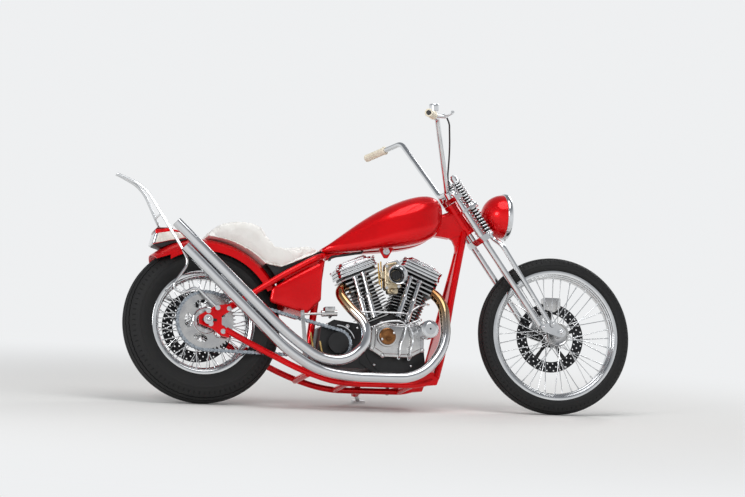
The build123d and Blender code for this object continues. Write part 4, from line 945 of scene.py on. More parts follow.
class CHOPPER_OT_controls(bpy.types.Operator):
    """Make the ribbed grips, the right bar's fluid cup, its clamp and its lever"""
    bl_idname = "chopper.controls"
    bl_label = "Hand controls"

    def execute(self, context):
        rows = [(0, 11.2), (0, 15.4), (1.5, 16.8), (5, 17.2), (8, 16.2)]
        for along in np.arange(12, 112, 9.0):
            rows += [(along, 16.2), (along + 1.5, 15.7), (along + 3.5, 15.7), (along + 5, 16.2)]
        rows += [(118, 16.2), (119.5, 18.5), (124, 18.5), (125.5, 17.0), (125.5, 11.2)]
        shapes = [lathe(np.array(rows) - [6, 0], *bar_axes(side)[:2], 40) for side in (-1, 1)]
        add_piece("Ribbed_grips", shapes, "white_rubber", "fork", crease=40, replaces="grips")
        plugs = [lathe([(-4.5, 0.5), (-4.5, 8.5), (-1, 10), (6, 10), (6, 0.5)], *bar_axes(side)[:2], 24)
                 for side in (-1, 1)]
        add_piece("Grip_plugs", plugs, "black_metal", "fork")
        end, inboard, up = bar_axes(-1)
        middle = end + inboard * 146.0
        ahead = np.cross(up, inboard)
        ahead *= np.sign(ahead[0])
        sleeve = [(-17, 11.1), (-17, 16), (-15, 17), (15, 17), (17, 16), (17, 11.1)]
        cup = [(12, 2), (12, 9), (18, 10), (20, 19), (21, 20), (40, 20), (41, 18)]
        clamp = [lathe(sleeve, middle, inboard, 40), lathe(cup, middle, up, 40),
                 rod(middle + ahead * 12, middle + ahead * 50 - up * 6, 9, 7)]
        add_piece("Control_clamp", clamp, "chrome", "fork", replaces="hand_controls")
        # The lever's line: inboard, ahead and up of the clamp's middle
        line = np.array([(0, 46, -4), (-26, 62, -4), (-80, 88, -2), (-124, 96, 2)])
        lever = rounded(middle + line @ np.array([inboard, ahead, up]), 60)
        thick = np.interp(np.arange(len(lever)), [0, len(lever) - 3, len(lever) - 1], [6.5, 4.5, 7.5])
        cap = [(41, 2), (41, 20.6), (47, 20.6), (49, 19), (49, 2)]
        bright = [swept(lever, thick, 14, flatten=0.62), lathe(cap, middle, up, 40),
                  set_on(hexagon_bolt(5.5, 5.0), middle + ahead * 40 + up * 4.5, up)]
        bright += [set_on(dome_bolt(3.0, 2.0), middle + up * 49 + inboard * s, up) for s in (-13, 13)]
        bright += [set_on(dome_bolt(4.0, 4.0), middle + ahead * 17 + inboard * s, ahead)
                   for s in (-10, 10)]
        add_piece("Control_lever", bright, "chrome", "fork", crease=40)
        return {"FINISHED"}


def rounded_box(half_u, half_v, corner, low, high, edge, side):
    """One layer of a rocker box: a rounded slab square to its cylinder."""
    outline = closed_rounded(box_outline(half_u, half_v, corner), corner)
    return seated(slab(outline, low, high, edge), CRANK, *cylinder_axes(side))


class CHOPPER_OT_heads(bpy.types.Operator):
    """Make the rocker boxes in layers, the bright edges of the fins and the pushrod tubes"""
    bl_idname = "chopper.heads"
    bl_label = "Heads and barrels"

    def execute(self, context):
        # Layers of a rocker box: half length, half width, corner, from, to, edge
        bright = [(91, 67, 15, 352.4, 363.0, 1.5), (89, 65, 15, 366.0, 377.0, 1.5),
                  (91, 67, 16, 379.5, 389.0, 3.0), (80, 60, 18, 388.0, 398.0, 6.0),
                  (66, 46, 16, 397.0, 408.0, 5.0)]
        dark = [(88, 64, 15, 362.5, 366.5, 0.4), (87, 63, 15, 376.5, 380.0, 0.4)]
        lids, gaskets, edges = [], [], []
        for side in (-1, 1):
            axes = cylinder_axes(side)
            lids += [rounded_box(*layer, side) for layer in bright]
            gaskets += [rounded_box(*layer, side) for layer in dark]
            # Lengthwise ribs on the lid
            for v in (-28, -9.5, 9.5, 28):
                rib = slab(closed_rounded(box_outline(58, 5.2, 4), 4) + [0, v], 406.0, 412.5, 3.0)
                lids.append(seated(rib, CRANK, *axes))
            lids += [set_on(dome_bolt(6.5, 6.0), CRANK + np.array([u, v, 389.0]) @ np.array(axes), axes[2])
                     for u, v in ((-84, -54), (84, -54), (-84, 54), (84, 54), (0, -62.5), (0, 62.5))]
            for i in range(10):
                z = 138 + 13.8 * i
                outline = box_outline(72, 68, 26)
                limit = -side * (z * np.sin(HALF_VEE) - 1.5) / np.cos(HALF_VEE)
                outline[:, 0] = side * np.maximum(side * outline[:, 0], side * limit)
                edges.append(seated(band(outline, z - 0.2, z + 3.8, 0.6, 2.0), CRANK, *axes))
            for i in range(4):
                z = 276 + 19 * i + 3
                fin = band(box_outline(86, 72, 16), z - 0.2, z + 5.8, 0.6, 2.5)
                edges.append(seated(fin, CRANK, *axes))
        add_piece("Rocker_boxes", lids, "chrome", replaces="rocker_covers")
        add_piece("Rocker_gaskets", gaskets, "black_metal")
        add_piece("Fin_edges", edges, "polished_aluminium", crease=30)
        tubes = []
        # x and z of each tube's foot, then of its top
        for foot_x, foot_z, top_x, top_z in ((716, 371, 674, 566), (681, 357, 639, 545),
                                             (816, 375, 884, 556), (855, 356, 923, 540)):
            foot, top = np.array([foot_x, -112.0, foot_z]), np.array([top_x, -82.0, top_z])
            n = np.linalg.norm(top - foot)
            profile = [(0, 4), (0, 15), (6, 15), (8, 11.5), (n / 2 - 14, 11.5), (n / 2 - 12, 14),
                       (n / 2 - 2, 14), (n / 2, 12), (n / 2 + 8, 11), (n / 2 + 10, 8.5), (n - 12, 8.5),
                       (n - 10, 12), (n, 12), (n, 4)]
            tubes.append(lathe(profile, foot, top - foot, 32))
        add_piece("Pushrod_tubes", tubes, "chrome", replaces="pushrod_tubes")
        return {"FINISHED"}


class CHOPPER_OT_carburettor(bpy.types.Operator):
    """Make the carburettor: bell, throttle plate, body and its screws"""
    bl_idname = "chopper.carburettor"
    bl_label = "Carburettor"

    def execute(self, context):
        bell = np.array([806.0, 0.0, 552.0])
        horn = [(-96, 21.2), (-96, 30), (-128, 30), (-134, 31), (-142, 34), (-150, 38), (-155, 41),
                (-158, 42), (-160, 41), (-159, 38), (-152, 33), (-142, 27), (-132, 23.5), (-122, 21.6)]
        lid = [(770, 594), (770, 610), (812, 622), (826, 606), (826, 586)]
        screws = [(x, -126.5, z, RIGHT) for x, z in ((766, 498), (766, 590), (818, 506))]
        chrome_parts = [lathe(horn, bell, ACROSS), side_plate(lid, -122, -88, 3, 4),
                        rod((792, -84, 552), (792, -58, 552), 21.5), bolts(screws, hexagon_bolt(5.0, 4.5))]
        add_piece("Carburettor_horn", chrome_parts, "chrome", replaces="carburettor")
        body = [side_plate([(758, 488), (758, 600), (812, 612), (826, 560), (826, 500)], -126, -84, 6, 10),
                side_plate([(770, 474), (770, 500), (816, 500), (816, 474)], -124, -88, 5, 8),
                side_plate([(742, 540), (742, 566), (762, 570), (762, 536)], -120, -92, 3, 5)]
        body += [set_on(dome_bolt(11, 7), (x, -125.5, z), RIGHT) for x, z in ((792, 487), (772, 520))]
        body += [rod((822, -96, z), (834, -96, z), 9) for z in (512, 584)]
        add_piece("Carburettor_body", body, "polished_aluminium", finish="warm_alloy")
        # The bell's bore, darkened by a black plug that is painted shade of its depth, and the brass
        # linkage beside it
        bore_shade = lathe([(-128, 0.5), (-128, 21.0), (-96, 21.0), (-96, 0.5)], bell, ACROSS, 48)
        add_piece("Carburettor_bore_shade", bore_shade, "black_metal")
        linkage = [rod((746, -104, 612), (750, -104, 500), 3.2),
                   rod((736, -100, 606), (741, -100, 514), 3.2),
                   rod((440, -110, 299), (454, -110, 213), 4.5),
                   rod((480, -110, 264), (489, -110, 219), 4.5)]
        add_piece("Brass_rods", linkage, "steel", finish="brass")
        disc = [(-1.4, 0.5), (-1.4, 21), (1.4, 21), (1.4, 0.5)]
        plate = [lathe(disc, bell - [0, 131, 0], (0.08, -1, 0), 40),
                 rod(bell - [0, 134, 21], bell - [0, 134, -21], 1.6)]
        add_piece("Throttle_plate", plate, "black_metal")
        return {"FINISHED"}


class CHOPPER_OT_cases(bpy.types.Operator):
    """Make the engine's side covers, the oil filter, the breather pipes and the bolts"""
    bl_idname = "chopper.cases"
    bl_label = "Engine covers"

    def execute(self, context):
        outline = [(692, 236), (702, 330), (740, 352), (812, 346), (900, 352), (930, 320), (926, 236),
                   (868, 206), (742, 206)]
        centre = np.mean(outline, 0)
        raised = centre + (np.array(outline) - centre) * 0.86
        rim_places = centre + (np.array(outline) - centre) * 0.94
        cover = [side_plate(outline, -124, -89, 4, 12), side_plate(raised, -131, -120, 5, 12)]
        screw_post = [(-127, 2), (-127, 8), (-125, 9.5), (-91, 9.5), (-91, 2)]
        cover += [lathe(screw_post, (x, 0, z), ACROSS, 24) for x, z in rim_places]
        boss = (763, 0, 290)
        ring = [(-126, 30), (-126, 45), (-136, 44), (-141, 42), (-142, 39), (-142, 36), (-139, 35),
                (-139, 30)]
        cover.append(lathe(ring, boss, ACROSS))
        add_piece("Cam_cover", cover, "polished_aluminium", replaces="cam_cover")
        points_cover = [(-138, 0.6), (-138, 36), (-146, 36), (-150, 34), (-152, 30), (-152.6, 14),
                        (-151.4, 12), (-151.4, 0.6)]
        add_piece("Points_cover", lathe(points_cover, boss, ACROSS), "polished_aluminium", finish="bronze")
        oil = (938, 0, 322)
        can = [(-127, 4), (-127, 36), (-130, 38), (-164, 38), (-165, 37)]
        end = [(-165, 4), (-165, 38.6), (-180, 38), (-184, 34), (-186, 26), (-187, 24), (-187, 4)]
        filter_parts = [lathe(can, oil, ACROSS, 56), lathe(end, oil, ACROSS, 15)]
        add_piece("Oil_filter", filter_parts, "chrome", crease=20, replaces="oil_filter")
        # Rigid pipes over the cover: radius, then (x, y, z) points
        routes = (
            (3.6, ((635, -122, 387), (640, -142, 387), (748, -146, 390), (850, -142, 389),
                   (856, -122, 389))),
            (4.2, ((701, -126, 324), (705, -140, 330), (743, -146, 346), (790, -148, 355),
                   (828, -148, 352), (842, -148, 334), (837, -148, 302), (820, -146, 255),
                   (816, -140, 212), (816, -112, 200))),
            (4.2, ((852, -126, 343), (856, -142, 338), (868, -146, 312), (874, -146, 275),
                   (864, -146, 234), (861, -138, 208), (861, -112, 196))),
            (3.8, ((847, -122, 355), (852, -142, 368), (866, -146, 396), (899, -140, 421),
                   (946, -118, 436), (958, -90, 438))),
            (3.8, ((853, -126, 344), (866, -142, 350), (900, -142, 362), (912, -126, 367))),
        )
        pipes = []
        for radius, route in routes:
            line = smooth_line(route, 60)
            pipes.append(swept(line, radius, 12))
            nut = [(0, 1), (0, radius + 3.2), (11, radius + 3.2), (12, radius + 1.5), (12, 1)]
            pipes += [lathe(nut, line[end], line[beside] - line[end], 6)
                      for end, beside in ((0, 4), (-1, -5))]
        add_piece("Breather_pipes", pipes, "chrome")
        t = np.radians(np.linspace(90, 270, 25))
        rear = np.stack([560 + 95 * np.cos(t), 265 + 95 * np.sin(t)], -1)
        front = np.stack([820 - 103 * np.cos(t), 249 - 103 * np.sin(t)], -1)
        primary = np.concatenate([rear, front])
        middle = primary.mean(0)
        step = middle + (primary - middle) * 0.9
        shapes = [stood(slab(primary, 88.5, 134, 6)), stood(slab(step, 128, 142, 9))]
        for x, z, radius in ((560, 265, 52), (820, 249, 40)):
            lid = [(138, 0.6), (138, radius), (143, radius), (146, radius - 3), (147, radius - 10),
                   (147, 0.6)]
            shapes.append(lathe(lid, (x, 0, z), ACROSS))
        add_piece("Primary_cover", shapes, "polished_aluminium", crease=30, replaces="primary_cover")
        heads = [(x, 134.0, z, ACROSS) for x, z in middle + (primary[::4] - middle) * 0.955]
        heads += [(560 + 42 * np.cos(a), 147, 265 + 42 * np.sin(a), ACROSS) for a in np.arange(3) * 2.094]
        add_piece("Left_case_bolts", bolts(heads, dome_bolt(5.0, 4.0)), "chrome")
        right = [(x, -127.0, z, RIGHT) for x, z in rim_places]
        right += [(boss[0] + 29 * np.cos(a), -152, boss[2] + 29 * np.sin(a), RIGHT) for a in (0.5, 3.64)]
        right += [(601, -104, 332, RIGHT), (720, -88, 176, RIGHT), (880, -88, 176, RIGHT),
                  (520, -80, 340, RIGHT), (650, -80, 330, RIGHT), (504, -80, 180, RIGHT)]
        add_piece("Right_case_bolts", bolts(right, dome_bolt(6.0, 5.0)), "chrome")
        sump = closed_rounded([(730, 140), (866, 140), (900, 160), (696, 160)], 10)
        ribs = [stood(band(sump, y - 3, y + 3, 6.0, 6.0)) for y in range(-64, 65, 32)]
        add_piece("Sump_ribs", ribs, "black_metal")
        return {"FINISHED"}


def over_fender(angle, rise):
    """A point (x, z) at an angle about the rear axle, that high over the fender's crown."""
    radius = REAR_RADIUS + 23.4 + rise
    return (radius * np.cos(np.radians(angle)), REAR_AXLE[2] + radius * np.sin(np.radians(angle)))


def fender_plate(points, half, edge, corner):
    """A plate of the tail lamp, cut to (angle, rise) points over the fender."""
    return side_plate([over_fender(*point) for point in points], -half, half, edge, corner)


def domed_side(outline, side, plane, bulge):
    """A closed pad on one side: c + (outline - c)*cos(t)^0.4 at y = plane + bulge*sin t.

    c is the outline's middle."""
    outline = outward_normals(outline)[0][::-int(side)]
    t = np.linspace(0, np.radians(89), 12)[:, None]
    centre = outline.mean(0)
    flat = centre + (outline - centre)[None] * (np.cos(t) ** 0.4)[..., None]
    y = np.broadcast_to(side * (plane + bulge * np.sin(t)), flat.shape[:2])
    points = np.stack([flat[..., 0], y, flat[..., 1]], -1).reshape(-1, 3)
    n = len(outline)
    ends = np.stack([np.arange(n), np.arange(n)[::-1] + (len(t) - 1) * n])
    return points, [grid_faces(len(t), n, False, True), ends]


def fender_crown(x):
    """The height of the rear fender's crown at x."""
    return REAR_AXLE[2] + np.sqrt((REAR_RADIUS + 25.5) ** 2 - x ** 2)


def box_between(x, low, high, half):
    """A closed block along x: at each x a rectangle from low to high and from -half to half."""
    corners = [np.stack([x, way * half, z], -1) for way, z in ((1, low), (1, high), (-1, high), (-1, low))]
    points = np.stack(corners, 1).reshape(-1, 3)
    ends = np.array([[0, 1, 2, 3], [3, 2, 1, 0]]) + [[0], [(len(x) - 1) * 4]]
    return points, [grid_faces(len(x), 4, False, True), ends]


# The upper rails' line, x against z, and the room between them, x against half width
RAIL_LINE = ((205, 322, 482, 522), (462, 538, 626, 640))
RAIL_ROOM = ((240, 322, 482, 522), (82, 75, 42, 12))

# The seat's underside ahead of the fender, x against z: over the rails up to the tank
SEAT_OVER_RAILS = ((321, 400, 470, 512), (575, 608, 640, 666))


def oil_tank_shape():
    """The oil tank: a block ahead of the tyre, two domed cheeks, and a web up between the upper rails."""
    cheek = closed_rounded([(280, 484), (400, 553), (500, 606), (494, 520), (490, 440), (429, 380),
                            (268, 424)], 16, 8)
    t = np.radians(np.linspace(10.5, 27.5, 8))
    reach = REAR_RADIUS + 26.5
    arc = np.stack([reach * np.cos(t), REAR_AXLE[2] + reach * np.sin(t)], -1)
    block = np.concatenate([arc, [(498, 601), (493, 545), (489, 441), (429, 381.5)]])
    x = np.linspace(338, 516, 24)
    rail = np.interp(x, *RAIL_LINE)
    shapes = [stood(slab(block, -90, 90, 0.5)),
              box_between(x, rail - 34, rail + 4, np.interp(x, *RAIL_ROOM))]
    shapes += [domed_side(cheek, side, 89.6, 12.6) for side in (-1, 1)]
    return joined(shapes)


def seat_pan_and_shade_shape():
    """A black block between the upper rails, from the fender's crown to the seat's underside: the seat's
    pan, and painted shade in the gap under the seat.
    """
    back = over_fender(47.9, -11.2)
    under_x, under_z = (np.append(first, rest) for first, rest in zip(back, SEAT_OVER_RAILS))
    x = np.linspace(back[0] + 12, 508, 40)
    low = np.maximum(np.interp(x, *RAIL_LINE) + 2, fender_crown(np.minimum(x, REAR_RADIUS)) + 1.5)
    under = np.interp(x, under_x, under_z) - 1
    return box_between(x, low, np.maximum(under, low + 1), np.interp(x, *RAIL_ROOM))


class CHOPPER_OT_bodywork(bpy.types.Operator):
    """Make the fuel cap, the tank's front mount, the tail lamp and the bolts of the frame"""
    bl_idname = "chopper.bodywork"
    bl_label = "Bodywork fittings"

    def execute(self, context):
        start = np.array([905.1, 62.0, 883.8])
        axis = np.array([6.0, 6.0, 21.0])
        axis /= np.linalg.norm(axis)
        cap = [(2, 3), (2, 24), (8, 24), (8, 25.5), (18, 25.5), (20, 24.5), (22, 20), (23.5, 8), (23.6, 3)]
        add_piece("Fuel_cap", lathe(cap, start, axis, 24), "chrome", crease=20, replaces="fuel_cap")
        add_piece("Oil_tank", oil_tank_shape(), "red", crease=40, replaces="oil_tank")
        # The seat's pan, a black block that is also painted shade in the gap under the seat
        add_piece("Saddle_pan_and_shade", seat_pan_and_shade_shape(), "black_metal")
        mount = side_plate([(748, 694), (828, 694), (796, 640), (780, 640)], -36, -28, 1.5, 6)
        add_piece("Engine_mount_plate", mount, "red")
        web = [(1040, 762), (1150, 790), (1138, 690), (1106, 676), (1103, 712), (1092, 736), (1072, 747)]
        add_piece("Neck_fillet", side_plate(web, -12, 12, 3, 6), "red")
        ring = [lathe([(-44, 6), (-44, 14), (-42, 15.5), (-36, 15.5), (-36, 6)], (788, 0, 668), ACROSS, 32),
                bolts([(788, -44, 668, RIGHT)], hexagon_bolt(7.0, 6.0))]
        add_piece("Engine_mount_ring", ring, "chrome")

        # Plates of the tail lamp, in (angle, rise) points
        housing = [(124.9, 33), (118.1, 77), (111.1, 59.9), (100.1, 19.8), (99.8, 4), (107, 4),
                   (114.2, 12), (120, 20)]
        add_piece("Tail_lamp_housing", fender_plate(housing, 42, 7, 5), "chrome", replaces="tail_lamp_body")
        pane = np.array([over_fender(*point) for point in housing])
        pane = pane.mean(0) + (pane - pane.mean(0)) * 0.8
        panes = [side_plate(pane, *sorted((side * 40.0, side * 44.0)), 1.5, 4) for side in (-1, 1)]
        add_piece("Tail_lamp_panes", panes, "clear_glass", finish="frosted_glass")
        cap = [(118.4, 78.5), (111.1, 61.5), (103.5, 35), (105.5, 34), (111.4, 47), (119.4, 62)]
        add_piece("Tail_lamp_cap", fender_plate(cap, 44.5, 3, 4), "red")
        foot = [(99.8, 7), (107, 7), (114.2, 15), (120, 23), (124.5, 33), (120, 0), (112, -2), (100, -2)]
        add_piece("Tail_lamp_foot", fender_plate(foot, 36, 2, 3), "black_metal")
        glass = [(119.6, 66), (118.3, 79), (116.5, 84), (108.7, 62), (108.2, 48.1)]
        add_piece("Tail_lamp_glass", fender_plate(glass, 34, 4, 4), "red_lens", replaces="tail_lamp_lens")
        plate_bolts = ((40, 132.0, 384), (92, 118.0, 384), (4, 118.0, 372), (66, 118.0, 288),
                       (14, 118.0, 318))
        places = [(x, y * side, z, ACROSS * side) for side in (-1, 1) for x, y, z in plate_bolts]
        add_piece("Axle_plate_bolts", bolts(places, hexagon_bolt(8.0, 7.0)), "chrome")
        nuts = [set_on(capped_nut(15.0, 11.0, 10.0, 9.0), REAR_AXLE + ACROSS * side * 134.0, ACROSS * side)
                for side in (-1, 1)]
        low, high = REAR_AXLE[2] - 6, REAR_AXLE[2] + 6
        # Black sheets on the axle plates: painted shade of the axle's slots
        slot_shade = [side_plate([(-22, low), (-22, high), (40, high), (40, low)],
                            *sorted((side * 117.5, side * 119.5)), 0.6, 5) for side in (-1, 1)]
        add_piece("Rear_axle_nuts", nuts, "chrome")
        add_piece("Axle_slot_shade", slot_shade, "black_metal")
        small = [(500, -146, 396, RIGHT), (530, -146, 398, RIGHT), (398, -134, 372, RIGHT),
                 (846, 156, 92, ACROSS)]
        add_piece("Small_bolts", bolts(small, hexagon_bolt(5.0, 4.0)), "chrome")
        return {"FINISHED"}


def upright(points):
    """The frame's metres back to upright millimetres: the opposite of place."""
    points = (np.asarray(points, float) - SHIFT) * 1000
    x, y, z = points[..., 0], points[..., 1], points[..., 2]
    return np.stack([x, y * np.cos(LEAN) - z * np.sin(LEAN), y * np.sin(LEAN) + z * np.cos(LEAN)], -1)


def vectors(items, key):
    """One vector of each of a mesh's points, as rows of an array."""
    values = np.empty(len(items) * 3)
    items.foreach_get(key, values)
    return values.reshape(-1, 3)


def set_points(mesh, points):
    """Moves a mesh's points."""
    mesh.vertices.foreach_set("co", points.ravel())
    mesh.update()


def evaluated_mesh(piece):
    """The mesh of a piece with its modifiers applied."""
    return bpy.data.meshes.new_from_object(piece.evaluated_get(bpy.context.evaluated_depsgraph_get()))


def applied(piece):
    """Applies a piece's modifiers and returns its new mesh."""
    mesh = evaluated_mesh(piece)
    piece.modifiers.clear()
    piece.data = mesh
    return mesh


def roll_share(points, pitch):
    """How far each point lies across its roll of the seat: 0 in a channel, 1 on a roll's crest.

    Rolls are counted by distance along the seat's top line, from the place nearest to each point."""
    over_crown = ((89.1, 10), (82.1, 52.8), (73.2, 85.9), (66.4, 103.4), (60.7, 108.2), (54, 82.8),
                  (47.9, 76.6))
    over_rails = [(330, 648), (400, 662), (470, 676), (512, 666)]
    top = smooth_line([over_fender(*point) for point in over_crown] + over_rails, 160)
    along = np.concatenate([[0], np.cumsum(np.linalg.norm(np.diff(top, axis=0), axis=1))])
    flat = points[:, [0, 2]]
    nearest = np.argmin(((flat[:, None] - top[None]) ** 2).sum(-1), 1)
    after = np.clip(nearest, 0, len(top) - 2)
    step = top[after + 1] - top[after]
    extra = ((flat - top[after]) * step).sum(-1) / np.linalg.norm(step, axis=1)
    return np.abs(np.sin(np.pi * (along[after] + extra) / pitch))


# The seat's whole underside, x against z: along the fender's crown, then over the rails
CROWN_X = np.linspace(-20.0, 236.0, 24)
SEAT_UNDERSIDE = (np.append(CROWN_X, SEAT_OVER_RAILS[0]),
                  np.append(fender_crown(CROWN_X), SEAT_OVER_RAILS[1]))


class CHOPPER_OT_seat(bpy.types.Operator):
    """Stuff the seat by cloth simulation and sew its rolls"""
    bl_idname = "chopper.seat"
    bl_label = "Seat"

    def execute(self, context):
        seat = context.scene.chopper_seat
        shrink, cap = seat.shrink / 1000, seat.swell / 1000
        piece = bpy.data.objects.new("Saddle_pad", frame["nodes"]["seat"].data.copy())
        bpy.context.scene.collection.objects.link(piece)
        weld = piece.modifiers.new("Weld", "WELD")
        weld.merge_threshold = WELD_REACH
        remesh = piece.modifiers.new("Remesh", "REMESH")
        remesh.mode = "VOXEL"
        remesh.voxel_size = seat.voxel / 1000
        smooth = piece.modifiers.new("Smooth", "SMOOTH")
        smooth.iterations = 5
        mesh = applied(piece)
        start = vectors(mesh.vertices, "co")
        up = np.array([0.0, np.sin(LEAN), np.cos(LEAN)])
        # The sides draw in toward the fender and the rails, below which the pad rests.
        flat = upright(start)
        floor = np.interp(flat[:, 0], *SEAT_UNDERSIDE)
        reach = seat.foot_half + seat.flare * np.maximum(flat[:, 2] - floor, 0)
        narrow = np.maximum(np.abs(flat[:, 1]) - reach, 0) * np.sign(flat[:, 1]) / 1000
        start -= narrow[:, None] * np.array([0.0, np.cos(LEAN), -np.sin(LEAN)])
        set_points(mesh, start)
        normals = vectors(mesh.vertex_normals, "vector")
        # Faces that look down stay; from a little below level they are ever freer to swell.
        free = np.clip((normals @ up + 0.55) / 0.5, 0, 1)
        start -= normals * (shrink * free)[:, None]
        set_points(mesh, start)
        moved = start
        cloth = piece.modifiers.new("Cloth", "CLOTH")
        cloth.settings.use_pressure = True
        cloth.settings.uniform_pressure_force = seat.pressure
        cloth.settings.effector_weights.gravity = 0
        cloth.point_cache.frame_start, cloth.point_cache.frame_end = 1, seat.frames
        for step in range(1, seat.frames + 1):
            context.scene.frame_set(step)
        moved = vectors(evaluated_mesh(piece).vertices, "co")
        piece.modifiers.clear()
        context.scene.frame_set(1)
        change = moved - start
        length = np.linalg.norm(change, axis=1)
        change *= (np.minimum(length, cap) / np.maximum(length, 1e-9) * free)[:, None]
        set_points(mesh, start + change)
        divide = piece.modifiers.new("Divide", "SUBSURF")
        divide.levels = divide.render_levels = 1
        fine = applied(piece)
        points, normals = vectors(fine.vertices, "co"), vectors(fine.vertex_normals, "vector")
        # The channels are sewn into the top, and fade out down the sides.
        open_side = np.clip((normals @ up - 0.1) / 0.4, 0, 1)
        share = roll_share(upright(points), seat.roll_pitch)
        depth = seat.roll_depth / 1000 * ((1 - share) ** 2.2)
        set_points(fine, points - normals * (depth * open_side)[:, None])
        fine.polygons.foreach_set("use_smooth", np.ones(len(fine.polygons), bool))
        fine.materials.clear()
        fine.materials.append(MATERIALS["white_vinyl"])
        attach(piece, "frame")
        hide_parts("seat")
        return {"FINISHED"}


class SeatSettings(bpy.types.PropertyGroup):
    """The seat's stuffing and its rolls."""
    foot_half: FloatProperty(name="Foot", description="Half width of the underside, in millimetres",
                             default=87.0)
    flare: FloatProperty(name="Flare", description="How much each side widens with height", default=0.34)
    voxel: FloatProperty(name="Voxel", description="Size of the seat's cells in millimetres", default=5.0)
    shrink: FloatProperty(name="Shrink", description="How much smaller it starts, in millimetres",
                          default=4.0)
    swell: FloatProperty(name="Swell", description="How far a point may move, in millimetres", default=9.0)
    pressure: FloatProperty(name="Pressure", description="Pressure of the stuffing", default=4.0)
    frames: IntProperty(name="Frames", description="Steps of the simulation", default=20)
    roll_pitch: FloatProperty(name="Roll pitch",
                              description="Distance between two channels, in millimetres", default=26.0)
    roll_depth: FloatProperty(name="Roll depth", description="Depth of a channel, in millimetres",
                              default=3.5)


class WheelSettings(bpy.types.PropertyGroup):
    """Sizes of the wheels in millimetres."""
    tread_depth: FloatProperty(name="Tread depth", description="Depth of the grooves in the rear tyre",
                               default=5.0)
    spoke_radius: FloatProperty(name="Spoke radius", description="Half the thickness of a spoke",
                                default=1.9)


# Finishes of the CAD nodes, and the stage


class CHOPPER_OT_finishes(bpy.types.Operator):
    """Give every CAD node its finish and smooth its facets"""
    bl_idname = "chopper.finishes"
    bl_label = "Finishes of the CAD nodes"

    def execute(self, context):
        MATERIALS.update(make_materials())
        for part in frame["record"]["subparts"]:
            node = frame["nodes"][part["node"]]
            material = MATERIALS[NODE_FINISHES.get(part["node"], part["material_slot"])]
            if not node.material_slots:
                node.data.materials.append(material)
            for slot in node.material_slots:
                slot.material = material
            smooth_node(part["node"], ROUNDED_EDGES.get(part["node"], 0.0))
        return {"FINISHED"}


class CHOPPER_OT_stage(bpy.types.Operator):
    """Make the pale floor, the soft studio light and the camera"""
    bl_idname = "chopper.stage"
    bl_label = "Floor, light and camera"

    def execute(self, context):
        stage = context.scene.chopper_stage
        make_floor(stage)
        make_lights(stage)
        make_camera(stage)
        context.scene.view_settings.view_transform = "Standard"
        return {"FINISHED"}


def pale_for_sight(tree, plain, pale):
    """Chooses the pale shader for camera, glossy and transmission rays, the plain one for all others."""
    rays = tree.nodes.new("ShaderNodeLightPath")
    first = add_node(tree, "ShaderNodeMath", {"operation": "MAXIMUM"},
                     links={0: rays.outputs["Is Camera Ray"], 1: rays.outputs["Is Glossy Ray"]})
    both = add_node(tree, "ShaderNodeMath", {"operation": "MAXIMUM"},
                    links={0: first.outputs[0], 1: rays.outputs["Is Transmission Ray"]})
    return add_node(tree, "ShaderNodeMixShader", links={0: both.outputs[0], 1: plain, 2: pale}).outputs[0]


def make_floor(stage):
    """A wide plain floor at the height on which the tyres and the stand rest."""
    size = stage.floor_size / 2
    mesh = bpy.data.meshes.new("Floor")
    mesh.from_pydata([(-size, -size, 0), (size, -size, 0), (size, size, 0), (-size, size, 0)], [],
                     [(0, 1, 2, 3)])
    floor = bpy.data.objects.new("Floor", mesh)
    bpy.context.scene.collection.objects.link(floor)
    material, tree, shader, place_in = surface_material("Pale_floor", {
        "Base Color": (*stage.floor_colour, 1.0), "Roughness": 0.9, "Specular IOR Level": 0.2})
    # Far off, what camera and polished metal see of it fades into the backdrop's colour.
    distance = add_node(tree, "ShaderNodeVectorMath", {"operation": "LENGTH"}, links={0: place_in})
    fade = add_node(tree, "ShaderNodeMapRange", {"interpolation_type": "SMOOTHSTEP"},
                    {"From Min": stage.fade_start, "From Max": stage.fade_end},
                    {"Value": distance.outputs["Value"]})
    far = add_node(tree, "ShaderNodeEmission",
                   inputs={"Color": (*stage.backdrop_colour, 1.0), "Strength": 1.0})
    faded = add_node(tree, "ShaderNodeMixShader",
                     links={0: fade.outputs[0], 1: shader.outputs[0], 2: far.outputs[0]})
    out = tree.nodes["Material Output"]
    tree.links.new(pale_for_sight(tree, shader.outputs[0], faded.outputs[0]), out.inputs["Surface"])
    mesh.materials.append(material)


